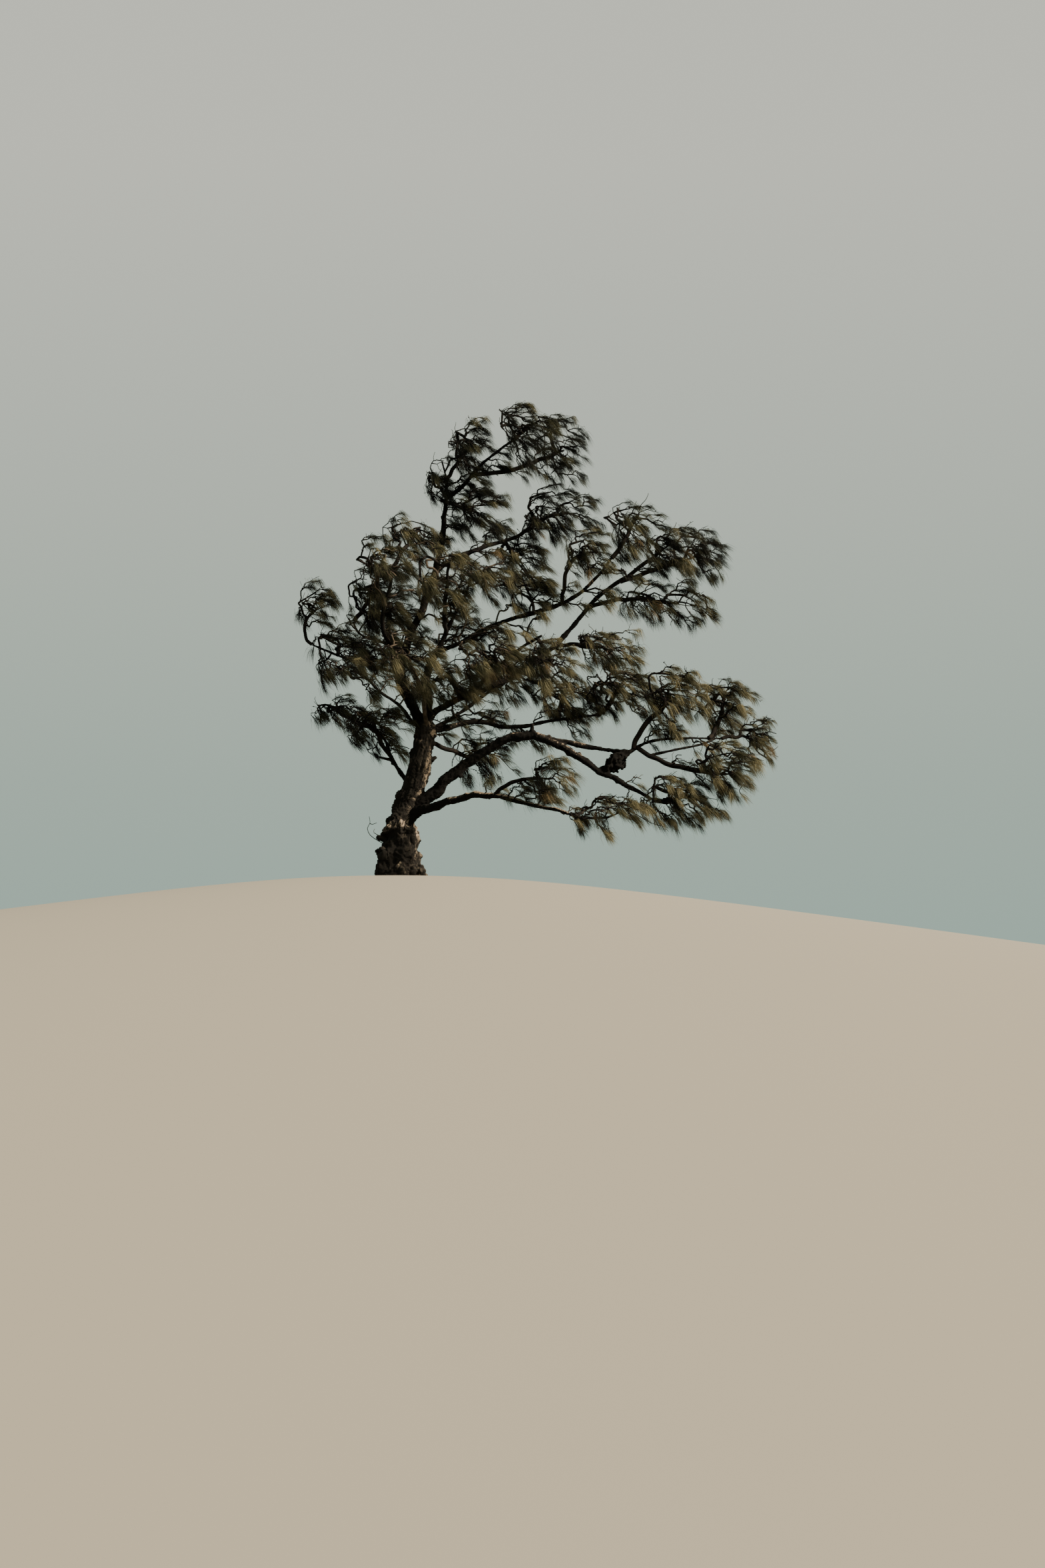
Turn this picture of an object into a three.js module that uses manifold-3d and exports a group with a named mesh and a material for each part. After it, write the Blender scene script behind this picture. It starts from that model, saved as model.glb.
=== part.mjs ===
// A windswept casuarina, also called ironwood or she-oak: a squat trunk with a burl at its foot, which forks
// low into two leaders and long wavy boughs, and open masses of drooping needles swept down the wind.
// Millimetres, +Z up. The wind blows along +X. The origin is the middle of the flat cut at ground level.

import * as THREE from 'three';
import Module from 'manifold-3d';

const wasm = await Module();
wasm.setup();

// Clear space left where one solid meets the next.
const GAP = 0.5;

// Corners that joining leaves closer than this become one.
const SHORTEST_EDGE = 0.15;

// Every limb's axis is walked in this many equal steps.
const STEPS = 60;

// Trunk: radius under the fork, extra radius at the foot, and the burl that rings it.
const TRUNK_SIDES = 11;
const TRUNK_TOP_RADIUS = 232;
const TRUNK_BUTT = 62;
const FLARE_RADIUS = 150;
const FLARE_HEIGHT = 430;
const FLARE_LOBES = 5;
const LOBE_DEPTH = 0.13;
const BURL_RADIUS = 140;
const BURL_TOP = 1180;
const BURL_EDGE = 110;
const KNURL = 0.07;
const CROWN_TAPER = 260;
const CROWN_ROUND = 0.75;

// Knobs of the burl: height, turn about the trunk in degrees, and size.
const KNOBS = [
  { height: 1330, turn: 195, size: 105 },
  { height: 1540, turn: 172, size: 80 },
  { height: 1150, turn: 250, size: 120 },
  { height: 900, turn: 318, size: 110 },
  { height: 640, turn: 205, size: 130 },
  { height: 760, turn: 120, size: 125 },
];

// Dead twigs that stand out of the burl on the windward side: height, rise, away, length.
const DEAD_TWIGS = [
  { height: 880, rise: [160, 125, 95], away: [-10], length: 760 },
  { height: 1060, rise: [175, 150, 120], away: [15], length: 620 },
];
const DEAD_TWIG_THICK = [17, 6];

// Limbs, each from a share of its parent's length. Rise turns in the X-Z plane, from 0 down the wind and 90
// straight up; away leans the limb out of that plane, towards +Y. Both run evenly along the limb, as does
// thick, the radius.
const LIMBS = {
  leader_main: { from: 'trunk', at: 0.95, length: 6650, rise: [120, 120, 70, 65, 75, 80, 85, 110],
    away: [10, -10], thick: [125, 112, 95, 78, 60, 22] },
  leader_right: { from: 'trunk', at: 0.98, length: 3850, rise: [85, 95, 60, 65, 60, 90], away: [-20, -10],
    thick: [105, 90, 46, 28] },
  bough_arch: { from: 'trunk', at: 0.48, length: 3500, rise: [0, 50, 35, 25, -10], away: [-10, -15],
    thick: [150, 126, 106, 102] },
  bough_reach: { from: 'bough_arch', at: 1, length: 3100, rise: [-20, -35, -30, -30], away: [-15, -10],
    thick: [100, 88, 66, 38] },
  bough_burl: { from: 'bough_reach', at: 0.58, length: 3000, rise: [35, 40, 10, 0, 0], away: [10, 10],
    thick: [58, 42, 32, 26], burl: { at: 0.13, size: 95, reach: 170 } },
  bough_low: { from: 'trunk', at: 0.4, length: 4750, rise: [20, 10, 10, -20, -15, -20], away: [-35, -35],
    thick: [112, 94, 74, 56, 36] },
  bough_level: { from: 'trunk', at: 0.92, length: 4400, rise: [10, 25, -15, 15, 10, 5], away: [30, 10],
    thick: [74, 60, 48, 34] },
  bough_east: { from: 'trunk', at: 0.98, length: 5800, rise: [55, 20, 30, 40, 55, 25], away: [20, -10],
    thick: [82, 70, 68, 60, 42] },
  bough_mid: { from: 'leader_right', at: 0.45, length: 4650, rise: [15, 30, 15, 15, 40, 55],
    away: [-10, -10],
    thick: [64, 60, 52, 32] },
  bough_crest: { from: 'leader_main', at: 0.87, length: 2050, rise: [20, 55, 35, 35], away: [-15, -10],
    thick: [56, 46, 30] },
  bough_sail: { from: 'leader_main', at: 0.6, length: 2950, rise: [50, 25, 20, 40], away: [25, 20],
    thick: [62, 55, 38] },
  bough_weather: { from: 'leader_main', at: 0.25, length: 2550, rise: [95, 135, 80, 70, 85],
    away: [-30, -30],
    thick: [84, 60, 46, 32] },
  bough_west: { from: 'leader_main', at: 0.28, length: 1850, rise: [125, 150, 160, 95], away: [35, 25],
    thick: [48, 38, 30] },
  bough_crook: { from: 'leader_main', at: 0.22, length: 2150, rise: [165, 165, 160, 155], away: [-5, 0],
    thick: [44, 36, 28] },
  bough_shoulder: { from: 'trunk', at: 0.95, length: 2400, rise: [165, 125, 155, 130, 215],
    away: [-20, -50],
    thick: [50, 38, 28] },
  bough_lee: { from: 'trunk', at: 0.57, length: 2200, rise: [130, 120, 110, 140], away: [15, 50],
    thick: [62, 48, 34] },
  bough_apron: { from: 'bough_east', at: 0.2, length: 2900, rise: [30, 40, 20], away: [-50, -35],
    thick: [56, 46, 34] },
  bough_back: { from: 'trunk', at: 0.93, length: 3300, rise: [30, 45, 40], away: [60, 40],
    thick: [64, 50, 34] },
};

// Masses of foliage. The stem is given as a limb is, as far as the middle of the mass's own space, and runs
// on from there. Spread is the half size of that space.
const MASSES = {
  peak_west: { from: 'leader_main', at: 0.93, length: 1000, rise: [65, 50, 35], away: [-15],
    spread: [750, 750, 800] },
  peak_top: { from: 'bough_crest', at: 1, length: 250, rise: [35], away: [-20], spread: [850, 850, 800] },
  peak_east: { from: 'bough_crest', at: 0.38, length: 2350, rise: [5, 20, 30], away: [15],
    spread: [650, 700, 950] },
  crown_west: { from: 'leader_main', at: 0.87, length: 450, rise: [135, 110], away: [10],
    spread: [400, 600, 650] },
  upper_east: { from: 'leader_main', at: 0.85, length: 1050, rise: [-20, -35], away: [-40],
    spread: [700, 750, 750] },
  sail_tip: { from: 'bough_sail', at: 1, length: 650, rise: [45, 0], away: [-10],
    spread: [1000, 800, 700] },
  sail_low: { from: 'bough_sail', at: 0.67, length: 850, rise: [-35, -50], away: [40],
    spread: [900, 850, 800] },
  weather_tip: { from: 'bough_weather', at: 1, length: 1050, rise: [65, 55], away: [25],
    spread: [750, 750, 650] },
  weather_low: { from: 'bough_weather', at: 0.63, length: 1300, rise: [125, 95, 55], away: [-50],
    spread: [750, 750, 750] },
  west_tip: { from: 'bough_west', at: 1, length: 700, rise: [50, 60], away: [-5], spread: [750, 750, 800] },
  crook_tip: { from: 'bough_crook', at: 1, length: 950, rise: [140, 85, 25], away: [0],
    spread: [500, 700, 750] },
  crook_outer: { from: 'bough_crook', at: 0.7, length: 250, rise: [85], away: [55],
    spread: [750, 850, 700] },
  crook_inner: { from: 'bough_crook', at: 0.28, length: 650, rise: [150], away: [-80],
    spread: [600, 650, 700] },
  front_low: { from: 'trunk', at: 0.93, length: 2550, rise: [80, 105, 125], away: [-55],
    spread: [750, 800, 700] },
  shoulder_tip: { from: 'bough_shoulder', at: 1, length: 250, rise: [150], away: [-30],
    spread: [650, 600, 400] },
  lee_tip: { from: 'bough_lee', at: 1, length: 900, rise: [165, 145], away: [10], spread: [700, 700, 450] },
  lee_low: { from: 'bough_lee', at: 0.47, length: 950, rise: [135, 105], away: [-45],
    spread: [800, 700, 650] },
  leader_near: { from: 'leader_right', at: 0.57, length: 1500, rise: [95, 80], away: [-60, -40],
    spread: [800, 700, 950] },
  leader_tip: { from: 'leader_right', at: 0.93, length: 500, rise: [-10, 20], away: [-20],
    spread: [800, 750, 700] },
  mid_low: { from: 'bough_mid', at: 0.52, length: 500, rise: [95, 115], away: [-20],
    spread: [800, 700, 500] },
  mid_near: { from: 'bough_mid', at: 0.67, length: 1500, rise: [90, 75, 0], away: [-25],
    spread: [600, 650, 650] },
  mid_tip: { from: 'bough_mid', at: 1, length: 850, rise: [50, 65], away: [10], spread: [750, 800, 750] },
  east_up: { from: 'bough_east', at: 0.95, length: 1650, rise: [30, 35], away: [-25],
    spread: [700, 700, 750] },
  east_tip: { from: 'bough_east', at: 1, length: 2050, rise: [20, 20, 20], away: [5],
    spread: [750, 700, 650] },
  east_spar: { from: 'bough_east', at: 0.83, length: 1900, rise: [25, 5, -5], away: [15],
    spread: [1650, 600, 650] },
  east_crown: { from: 'bough_east', at: 0.63, length: 1700, rise: [-5, -20], away: [-45],
    spread: [1050, 750, 600] },
  apron_mid: { from: 'bough_apron', at: 0.48, length: 1250, rise: [120], away: [-85],
    spread: [1000, 800, 700] },
  apron_tip: { from: 'bough_apron', at: 0.95, length: 1050, rise: [-65], away: [-40],
    spread: [850, 800, 700] },
  level_tip: { from: 'bough_level', at: 1, length: 1000, rise: [35, 60], away: [-45],
    spread: [1000, 850, 750] },
  level_mid: { from: 'bough_level', at: 0.78, length: 900, rise: [85, 70], away: [45],
    spread: [900, 750, 750] },
  burl_near: { from: 'bough_burl', at: 0.3, length: 1450, rise: [80, 45, 40], away: [-5],
    spread: [750, 800, 850] },
  burl_up: { from: 'bough_burl', at: 0.9, length: 1100, rise: [50, 80], away: [35],
    spread: [650, 800, 850] },
  burl_tip: { from: 'bough_burl', at: 1, length: 900, rise: [20, -30], away: [5], spread: [450, 600, 700] },
  burl_hook: { from: 'bough_burl', at: 0.33, length: 2300, rise: [-40, -15, -5], away: [-20],
    spread: [800, 700, 800] },
  reach_tip: { from: 'bough_reach', at: 1, length: 700, rise: [-20, 20], away: [-15],
    spread: [1150, 750, 650] },
  low_tip: { from: 'bough_low', at: 1, length: 950, rise: [-25, 20], away: [0], spread: [1200, 600, 450] },
  low_mid: { from: 'bough_low', at: 0.55, length: 1450, rise: [50, 10, -10], away: [-30],
    spread: [650, 650, 500] },
  under_arch: { from: 'trunk', at: 0.87, length: 1800, rise: [-10, -20, 10], away: [35],
    spread: [900, 700, 650] },
  east_root: { from: 'bough_east', at: 0.18, length: 650, rise: [120], away: [-60],
    spread: [750, 650, 600] },
  back_tip: { from: 'bough_back', at: 1, length: 500, rise: [40], away: [40], spread: [1000, 900, 800] },
  back_west: { from: 'leader_main', at: 0.13, length: 3250, rise: [105, 110, 90], away: [45],
    spread: [900, 900, 850] },
};

// Limb sections.
const SECTION_LENGTH = 540;
const FEWEST_SECTIONS = 5;
const THICK_LIMB = 90;
const THICK_SIDES = 7;
const LIMB_SIDES = 6;
const COLLAR = 0.28;
const BURL_SHARE = 0.045;

// A mass's stem: radius at its root, more for each metre of length, and at its tip. Past the middle of the
// space it runs on by a share of the way that is left.
const STEM_SIDES = 3;
const STEM_SECTION = 480;
const STEM_ROOT = 19;
const STEM_ROOT_PER_METRE = 6;
const STEM_TIP = 13;
const RUN_ON = 0.62;
const RUN_STEPS = 20;

// Twigs and sprays. A spray is a toothed blade, thickest in its middle, whose tips droop. Its outline gives
// the run along and across for each corner. Its middle is tried further and further in from the space's
// edge, a little smaller each time, until the spray is clear of all wood and of the sprays before it.
const SPRAYS_LEAST = 5;
const SPRAYS_PER_CUBIC_METRE = 7;
const TWIG_SIDES = 3;
const TWIG_ROOT = 6;
const TWIG_TIP = 9;
const SPRAY_LENGTH = 800;
const SPRAY_VARY = 0.15;
const SPRAY_HALF_THICK = 42;
const SPRAY_DROOP = 0.22;
const SPRAY_MIDDLE = 0.4;
const SPRAY_OUTLINE = [
  [0.58, 0.42], [0.66, 0.19], [1, 0.22], [0.78, 0.02], [0.98, -0.17], [0.62, -0.2], [0.62, -0.44],
];
const WIND = new THREE.Vector3(0.8, 0, -0.42);
const OUTWARD = 0.75;
const STRAY = 0.5;
const STEEPNESS = 0.4;
const TRIES = 13;
const FIRST_REACH = 0.95;
const REACH_STEP = 0.06;
const SHRINK = 0.02;
const WALL = 5;
const BAR_STRIDE = 5;
const FAR_BARS = 500;
const LIMB_CLEAR = 34;
const SPRAY_CLEAR = 20;
const SPRAY_CORE = 70;
const SHORTEST_TWIG = 90;
const BARE_ROOT = 90;
const ROOT_APART = 70;
const LEAST_ONWARD = -0.45;
const ONWARD_COST = 1.6;
const TWIG_BEND = 0.55;

const BARK = { color: 0x4b4038, roughness: 0.95, metalness: 0 };
const NEEDLES = { color: 0x5b5a34, roughness: 0.9, metalness: 0 };

const radians = THREE.MathUtils.degToRad;
const clamp = THREE.MathUtils.clamp;

// Seeded random numbers from 0 to 1, the same on every run.
function seeded(seed) {
  let state = seed >>> 0;
  return () => {
    state = (state + 0x6d2b79f5) >>> 0;
    let t = Math.imul(state ^ (state >>> 15), state | 1);
    t = (t + Math.imul(t ^ (t >>> 7), t | 61)) ^ t;
    return ((t ^ (t >>> 14)) >>> 0) / 4294967296;
  };
}

// The value at a share of the way along evenly spaced values.
function along(values, share) {
  if (values.length === 1) {
    return values[0];
  }
  const place = clamp(share, 0, 1) * (values.length - 1);
  const low = Math.min(Math.floor(place), values.length - 2);
  return values[low] + (values[low + 1] - values[low]) * (place - low);
}

function heading(rise, away) {
  const level = Math.cos(radians(away));
  return new THREE.Vector3(
    Math.cos(radians(rise)) * level,
    Math.sin(radians(away)),
    Math.sin(radians(rise)) * level,
  );
}

function walk(start, { length, rise, away }) {
  const path = [start.clone()];
  for (let i = 0; i < STEPS; i += 1) {
    const share = (i + 0.5) / STEPS;
    const step = heading(along(rise, share), along(away, share)).multiplyScalar(length / STEPS);
    path.push(path[i].clone().add(step));
  }
  return path;
}

// The point at a share of a walked path.
function pointOn(path, share) {
  const place = clamp(share, 0, 1) * (path.length - 1);
  const low = Math.min(Math.floor(place), path.length - 2);
  return path[low].clone().lerp(path[low + 1], place - low);
}

// A closed skin over rings that face along the path. The radius may change with the turn about the axis.
function skin(centres, radiusAt, sides, firstNormal) {
  const positions = [];
  const index = [];
  let side = new THREE.Vector3(0, 1, 0);
  centres.forEach((centre, i) => {
    const before = centres[Math.max(i - 1, 0)];
    const after = centres[Math.min(i + 1, centres.length - 1)];
    const normal = i === 0 && firstNormal ? firstNormal : after.clone().sub(before).normalize();
    if (i === 0 && Math.abs(normal.y) > 0.9) {
      side.set(1, 0, 0);
    }
    side = side.clone().addScaledVector(normal, -side.dot(normal)).normalize();
    const up = normal.clone().cross(side);
    for (let k = 0; k < sides; k += 1) {
      const turn = (2 * Math.PI * k) / sides;
      const radius = radiusAt(i, turn);
      const point = centre.clone()
        .addScaledVector(side, Math.cos(turn) * radius)
        .addScaledVector(up, Math.sin(turn) * radius);
      positions.push(point.x, point.y, point.z);
    }
  });
  const last = (centres.length - 1) * sides;
  for (let row = 0; row < last; row += sides) {
    for (let k = 0; k < sides; k += 1) {
      const a = row + k;
      const b = row + ((k + 1) % sides);
      index.push(a, b, b + sides, a, b + sides, a + sides);
    }
  }
  const foot = positions.length / 3;
  const head = foot + 1;
  positions.push(...centres[0].toArray(), ...centres[centres.length - 1].toArray());
  for (let k = 0; k < sides; k += 1) {
    const next = (k + 1) % sides;
    index.push(foot, next, k, head, last + k, last + next);
  }
  return closedGeometry(positions, index);
}

function closedGeometry(positions, index) {
  const geometry = new THREE.BufferGeometry();
  geometry.setAttribute('position', new THREE.Float32BufferAttribute(positions, 3));
  geometry.setIndex(index);
  return geometry;
}

function toSolid(geometry) {
  return new wasm.Manifold(new wasm.Mesh({
    numProp: 3,
    vertProperties: new Float32Array(geometry.getAttribute('position').array),
    triVerts: new Uint32Array(geometry.getIndex().array),
  }));
}

// The largest piece of a solid that a cut may have split.
function mainPiece(solid) {
  const pieces = solid.decompose();
  return pieces.reduce((best, piece) => (piece.volume() > best.volume() ? piece : best));
}

// The solid's faces, with the two ends of each very short edge merged and what folds flat left out.
function tidied(solid) {
  const { vertProperties, triVerts } = solid.getMesh();
  const corner = (i) => new THREE.Vector3().fromArray(vertProperties, 3 * i);
  const kept = Array.from({ length: vertProperties.length / 3 }, (_, i) => i);
  const find = (i) => {
    let at = i;
    while (kept[at] !== at) {
      at = kept[at];
    }
    return at;
  };
  for (let i = 0; i < triVerts.length; i += 1) {
    const a = find(triVerts[i]);
    const b = find(triVerts[i % 3 === 2 ? i - 2 : i + 1]);
    if (a !== b && corner(a).distanceTo(corner(b)) < SHORTEST_EDGE) {
      kept[Math.max(a, b)] = Math.min(a, b);
    }
  }
  const faces = new Map();
  for (let i = 0; i < triVerts.length; i += 3) {
    const face = [find(triVerts[i]), find(triVerts[i + 1]), find(triVerts[i + 2])];
    if (new Set(face).size === 3) {
      const key = [...face].sort((a, b) => a - b).join(' ');
      if (faces.has(key)) {
        faces.delete(key);
      } else {
        faces.set(key, face);
      }
    }
  }
  const numbers = new Map();
  const positions = [];
  const index = [...faces.values()].flat().map((i) => {
    if (!numbers.has(i)) {
      numbers.set(i, positions.length / 3);
      positions.push(...corner(i).toArray());
    }
    return numbers.get(i);
  });
  return closedGeometry(positions, index);
}

function toMesh(name, solid, finish) {
  const geometry = tidied(solid);
  geometry.computeVertexNormals();
  const part = new THREE.Mesh(geometry, new THREE.MeshStandardMaterial(finish));
  part.name = name;
  return part;
}

// Trunk.
const trunkPath = walk(new THREE.Vector3(), { length: 3800, rise: [95, 85, 70, 80, 80], away: [0] });

function trunkRadius(point, turn) {
  const height = point.z;
  const butt = TRUNK_BUTT * (1 - height / trunkPath[STEPS].z);
  const flare = FLARE_RADIUS * Math.exp(-((height / FLARE_HEIGHT) ** 2));
  const burl = BURL_RADIUS / (1 + Math.exp((height - BURL_TOP) / (BURL_EDGE / 2)));
  const lobes = 1 + LOBE_DEPTH * Math.cos(FLARE_LOBES * turn + 0.6) * Math.exp(-height / FLARE_HEIGHT);
  const knurls = 1 + KNURL * Math.sin(3 * turn + height / 170) * (burl / BURL_RADIUS);
  return (TRUNK_TOP_RADIUS + butt + flare + burl) * lobes * knurls;
}

function trunkSkin(grow) {
  const shares = [0, 0.04, 0.09, 0.15, 0.21, 0.27, 0.31, 0.35, 0.42, 0.55, 0.7, 0.85, 0.94, 1];
  const centres = shares.map((share) => pointOn(trunkPath, share));
  const top = trunkPath[STEPS];
  const radiusAt = (i, turn) => {
    const left = centres[i].distanceTo(top);
    const round = Math.sqrt(1 - CROWN_ROUND * Math.max(0, 1 - left / CROWN_TAPER) ** 2);
    return trunkRadius(centres[i], turn) * round + grow;
  };
  return skin(lengthened(centres, grow), radiusAt, TRUNK_SIDES, new THREE.Vector3(0, 0, 1));
}

function knob({ height, turn, size }) {
  const share = trunkPath.findIndex((point) => point.z >= height) / STEPS;
  const centre = pointOn(trunkPath, share);
  const out = trunkRadius(centre, radians(turn)) - size * 0.35;
  const ball = new THREE.IcosahedronGeometry(size, 0);
  ball.translate(centre.x + Math.cos(radians(turn)) * out, centre.y + Math.sin(radians(turn)) * out, centre.z);
  ball.deleteAttribute('normal');
  ball.deleteAttribute('uv');
  return toSolid(welded(ball));
}

// One vertex for each place, so that a three.js shape closes.
function welded(geometry) {
  const places = geometry.getAttribute('position');
  const seen = new Map();
  const positions = [];
  const index = [];
  for (let i = 0; i < places.count; i += 1) {
    const point = [places.getX(i), places.getY(i), places.getZ(i)];
    const key = point.map((value) => value.toFixed(3)).join(' ');
    if (!seen.has(key)) {
      seen.set(key, positions.length / 3);
      positions.push(...point);
    }
    index.push(seen.get(key));
  }
  return closedGeometry(positions, index);
}

function deadTwig({ height, rise, away, length }) {
  const share = trunkPath.findIndex((point) => point.z >= height) / STEPS;
  const path = walk(pointOn(trunkPath, share), { length, rise, away });
  const shares = [0, 0.35, 0.6, 0.8, 1];
  const centres = shares.map((place) => pointOn(path, place));
  return toSolid(skin(centres, (i) => along(DEAD_TWIG_THICK, shares[i]), TWIG_SIDES));
}

// Limbs.
const paths = { trunk: trunkPath };

function startOf(spec) {
  const parent = paths[spec.from];
  const start = pointOn(parent, spec.at);
  if (spec.at < 1) {
    return { start };
  }
  const onward = parent[STEPS].clone().sub(parent[STEPS - 1]).normalize();
  return { start: start.addScaledVector(onward, GAP), normal: onward };
}

function limbRadius(spec, share) {
  const distance = share * spec.length;
  const collar = spec.at < 1 ? 1 + COLLAR * Math.exp(-distance / (3 * spec.thick[0])) : 1;
  const burl = spec.burl
    ? spec.burl.size * Math.exp(-(((share - spec.burl.at) * spec.length / spec.burl.reach) ** 2))
    : 0;
  return along(spec.thick, share) * collar + burl;
}

function limbSkin(path, spec, grow, normal) {
  const count = Math.max(FEWEST_SECTIONS, Math.round(spec.length / SECTION_LENGTH));
  const shares = Array.from({ length: count + 1 }, (_, i) => i / count);
  if (spec.burl) {
    shares.push(spec.burl.at - BURL_SHARE, spec.burl.at, spec.burl.at + BURL_SHARE);
    shares.sort((a, b) => a - b);
  }
  const centres = shares.map((share) => pointOn(path, share));
  const sides = spec.thick[0] > THICK_LIMB ? THICK_SIDES : LIMB_SIDES;
  return skin(lengthened(centres, grow), (i) => limbRadius(spec, shares[i]) + grow, sides, normal);
}

// The same line with both ends moved out.
function lengthened(centres, grow) {
  const line = centres.map((centre) => centre.clone());
  const last = line.length - 1;
  line[0].addScaledVector(line[0].clone().sub(line[1]).normalize(), grow);
  line[last].addScaledVector(line[last].clone().sub(line[last - 1]).normalize(), grow);
  return line;
}

// Each mass keeps to an ellipsoid, cut by a flat wall between it and each neighbour.
function makeSpaces(stems) {
  const names = Object.keys(MASSES);
  const spaces = {};
  names.forEach((name) => {
    const spec = MASSES[name];
    spaces[name] = { centre: stems[name][STEPS], spread: spec.spread, walls: [] };
  });
  names.forEach((name, i) => {
    names.slice(i + 1).forEach((other) => {
      const one = spaces[name];
      const two = spaces[other];
      const line = two.centre.clone().sub(one.centre);
      const distance = line.length();
      if (distance > Math.max(...one.spread) + Math.max(...two.spread)) {
        return;
      }
      line.normalize();
      const reachOne = reachAlong(one.spread, line);
      const share = reachOne / (reachOne + reachAlong(two.spread, line));
      const limit = one.centre.dot(line) + distance * share;
      one.walls.push({ out: line, limit: limit - WALL });
      two.walls.push({ out: line.clone().negate(), limit: -limit - WALL });
    });
  });
  return spaces;
}

function reachAlong(spread, line) {
  return 1 / Math.hypot(line.x / spread[0], line.y / spread[1], line.z / spread[2]);
}

function inSpace(space, point) {
  const off = point.clone().sub(space.centre);
  const round = Math.hypot(off.x / space.spread[0], off.y / space.spread[1], off.z / space.spread[2]);
  return round <= 1 && space.walls.every((wall) => wall.out.dot(point) <= wall.limit);
}

// Straight bars along every limb and stem, to keep twigs and sprays off them.
function barsOf(path, radiusAt) {
  const bars = [];
  const last = path.length - 1;
  for (let i = 0; i < last; i += BAR_STRIDE) {
    const radius = Math.max(radiusAt(i / last), radiusAt((i + BAR_STRIDE) / last));
    bars.push({ start: path[i], end: path[i + BAR_STRIDE], radius });
  }
  return bars;
}

function offBar(bar, point) {
  const line = bar.end.clone().sub(bar.start);
  const share = clamp(point.clone().sub(bar.start).dot(line) / line.lengthSq(), 0, 1);
  return bar.start.clone().addScaledVector(line, share).distanceTo(point) - bar.radius;
}

function isClear(bars, points, gap) {
  return points.every((point) => bars.every((bar) => offBar(bar, point) > gap));
}

// Even directions over a sphere.
function direction(k, count, spin) {
  const level = 1 - (2 * k + 1) / count;
  const turn = k * Math.PI * (3 - Math.sqrt(5)) + spin;
  const ring = Math.sqrt(1 - level * level);
  return new THREE.Vector3(Math.cos(turn) * ring, Math.sin(turn) * ring, level);
}

function strayed(random) {
  const x = random() - 0.5;
  const y = random() - 0.5;
  const z = random() - 0.5;
  return new THREE.Vector3(x, y, z);
}

// The spray's corners when its middle lies at a point.
function sprayAt(middle, frame, length) {
  const corner = ([run, across]) => middle.clone()
    .addScaledVector(frame.axis, (run - SPRAY_MIDDLE) * length)
    .addScaledVector(frame.side, across * length)
    .addScaledVector(frame.down, SPRAY_DROOP * run * run * length);
  const outline = SPRAY_OUTLINE.map(corner);
  const centre = corner([SPRAY_MIDDLE, 0]);
  return {
    outline,
    centre,
    throat: corner([0, 0]),
    frame,
    above: centre.clone().addScaledVector(frame.down, -SPRAY_HALF_THICK),
    below: centre.clone().addScaledVector(frame.down, SPRAY_HALF_THICK),
  };
}

// Places over a spray: its rim, half way in from there, and its middle.
function sprayTests(spray) {
  const rim = [spray.throat, ...spray.outline];
  const edges = rim.map((corner, i) => corner.clone().lerp(rim[(i + 1) % rim.length], 0.5));
  const inner = [...rim, ...edges].map((point) => point.clone().lerp(spray.centre, 0.5));
  return [...rim, ...edges, ...inner, spray.above, spray.below];
}

function placeSpray(space, bars, own, out, frame, length) {
  for (let i = 0; i < TRIES; i += 1) {
    const reach = FIRST_REACH - REACH_STEP * i;
    const middle = new THREE.Vector3(
      space.centre.x + out.x * space.spread[0] * reach,
      space.centre.y + out.y * space.spread[1] * reach,
      space.centre.z + out.z * space.spread[2] * reach,
    );
    const spray = sprayAt(middle, frame, length * (1 - SHRINK * i));
    const tests = sprayTests(spray);
    const free = isClear(bars, tests, LIMB_CLEAR) && isClear(own, tests, SPRAY_CLEAR);
    if (free && tests.every((point) => inSpace(space, point))) {
      return spray;
    }
  }
  return null;
}

// The wood point that a spray's twig leaves from: the nearest that doesn't lie down the wind of it.
function nearestWood(wood, units, spray) {
  let best = null;
  let least = Infinity;
  const free = wood.filter((point) => units.every((unit) => unit.root.distanceTo(point) > ROOT_APART));
  free.forEach((point) => {
    const line = spray.throat.clone().sub(point);
    const length = line.length();
    const onward = line.dot(spray.frame.axis) / length;
    const cost = length * (ONWARD_COST - onward);
    if (length > SHORTEST_TWIG && onward > LEAST_ONWARD && cost < least) {
      least = cost;
      best = point;
    }
  });
  return best;
}

// The middle of a twig that curves into its spray.
function bendOf(root, spray) {
  const length = root.distanceTo(spray.throat);
  const pull = spray.throat.clone().addScaledVector(spray.frame.axis, -TWIG_BEND * length);
  return root.clone().add(spray.throat).multiplyScalar(0.25).addScaledVector(pull, 0.5);
}

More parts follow.
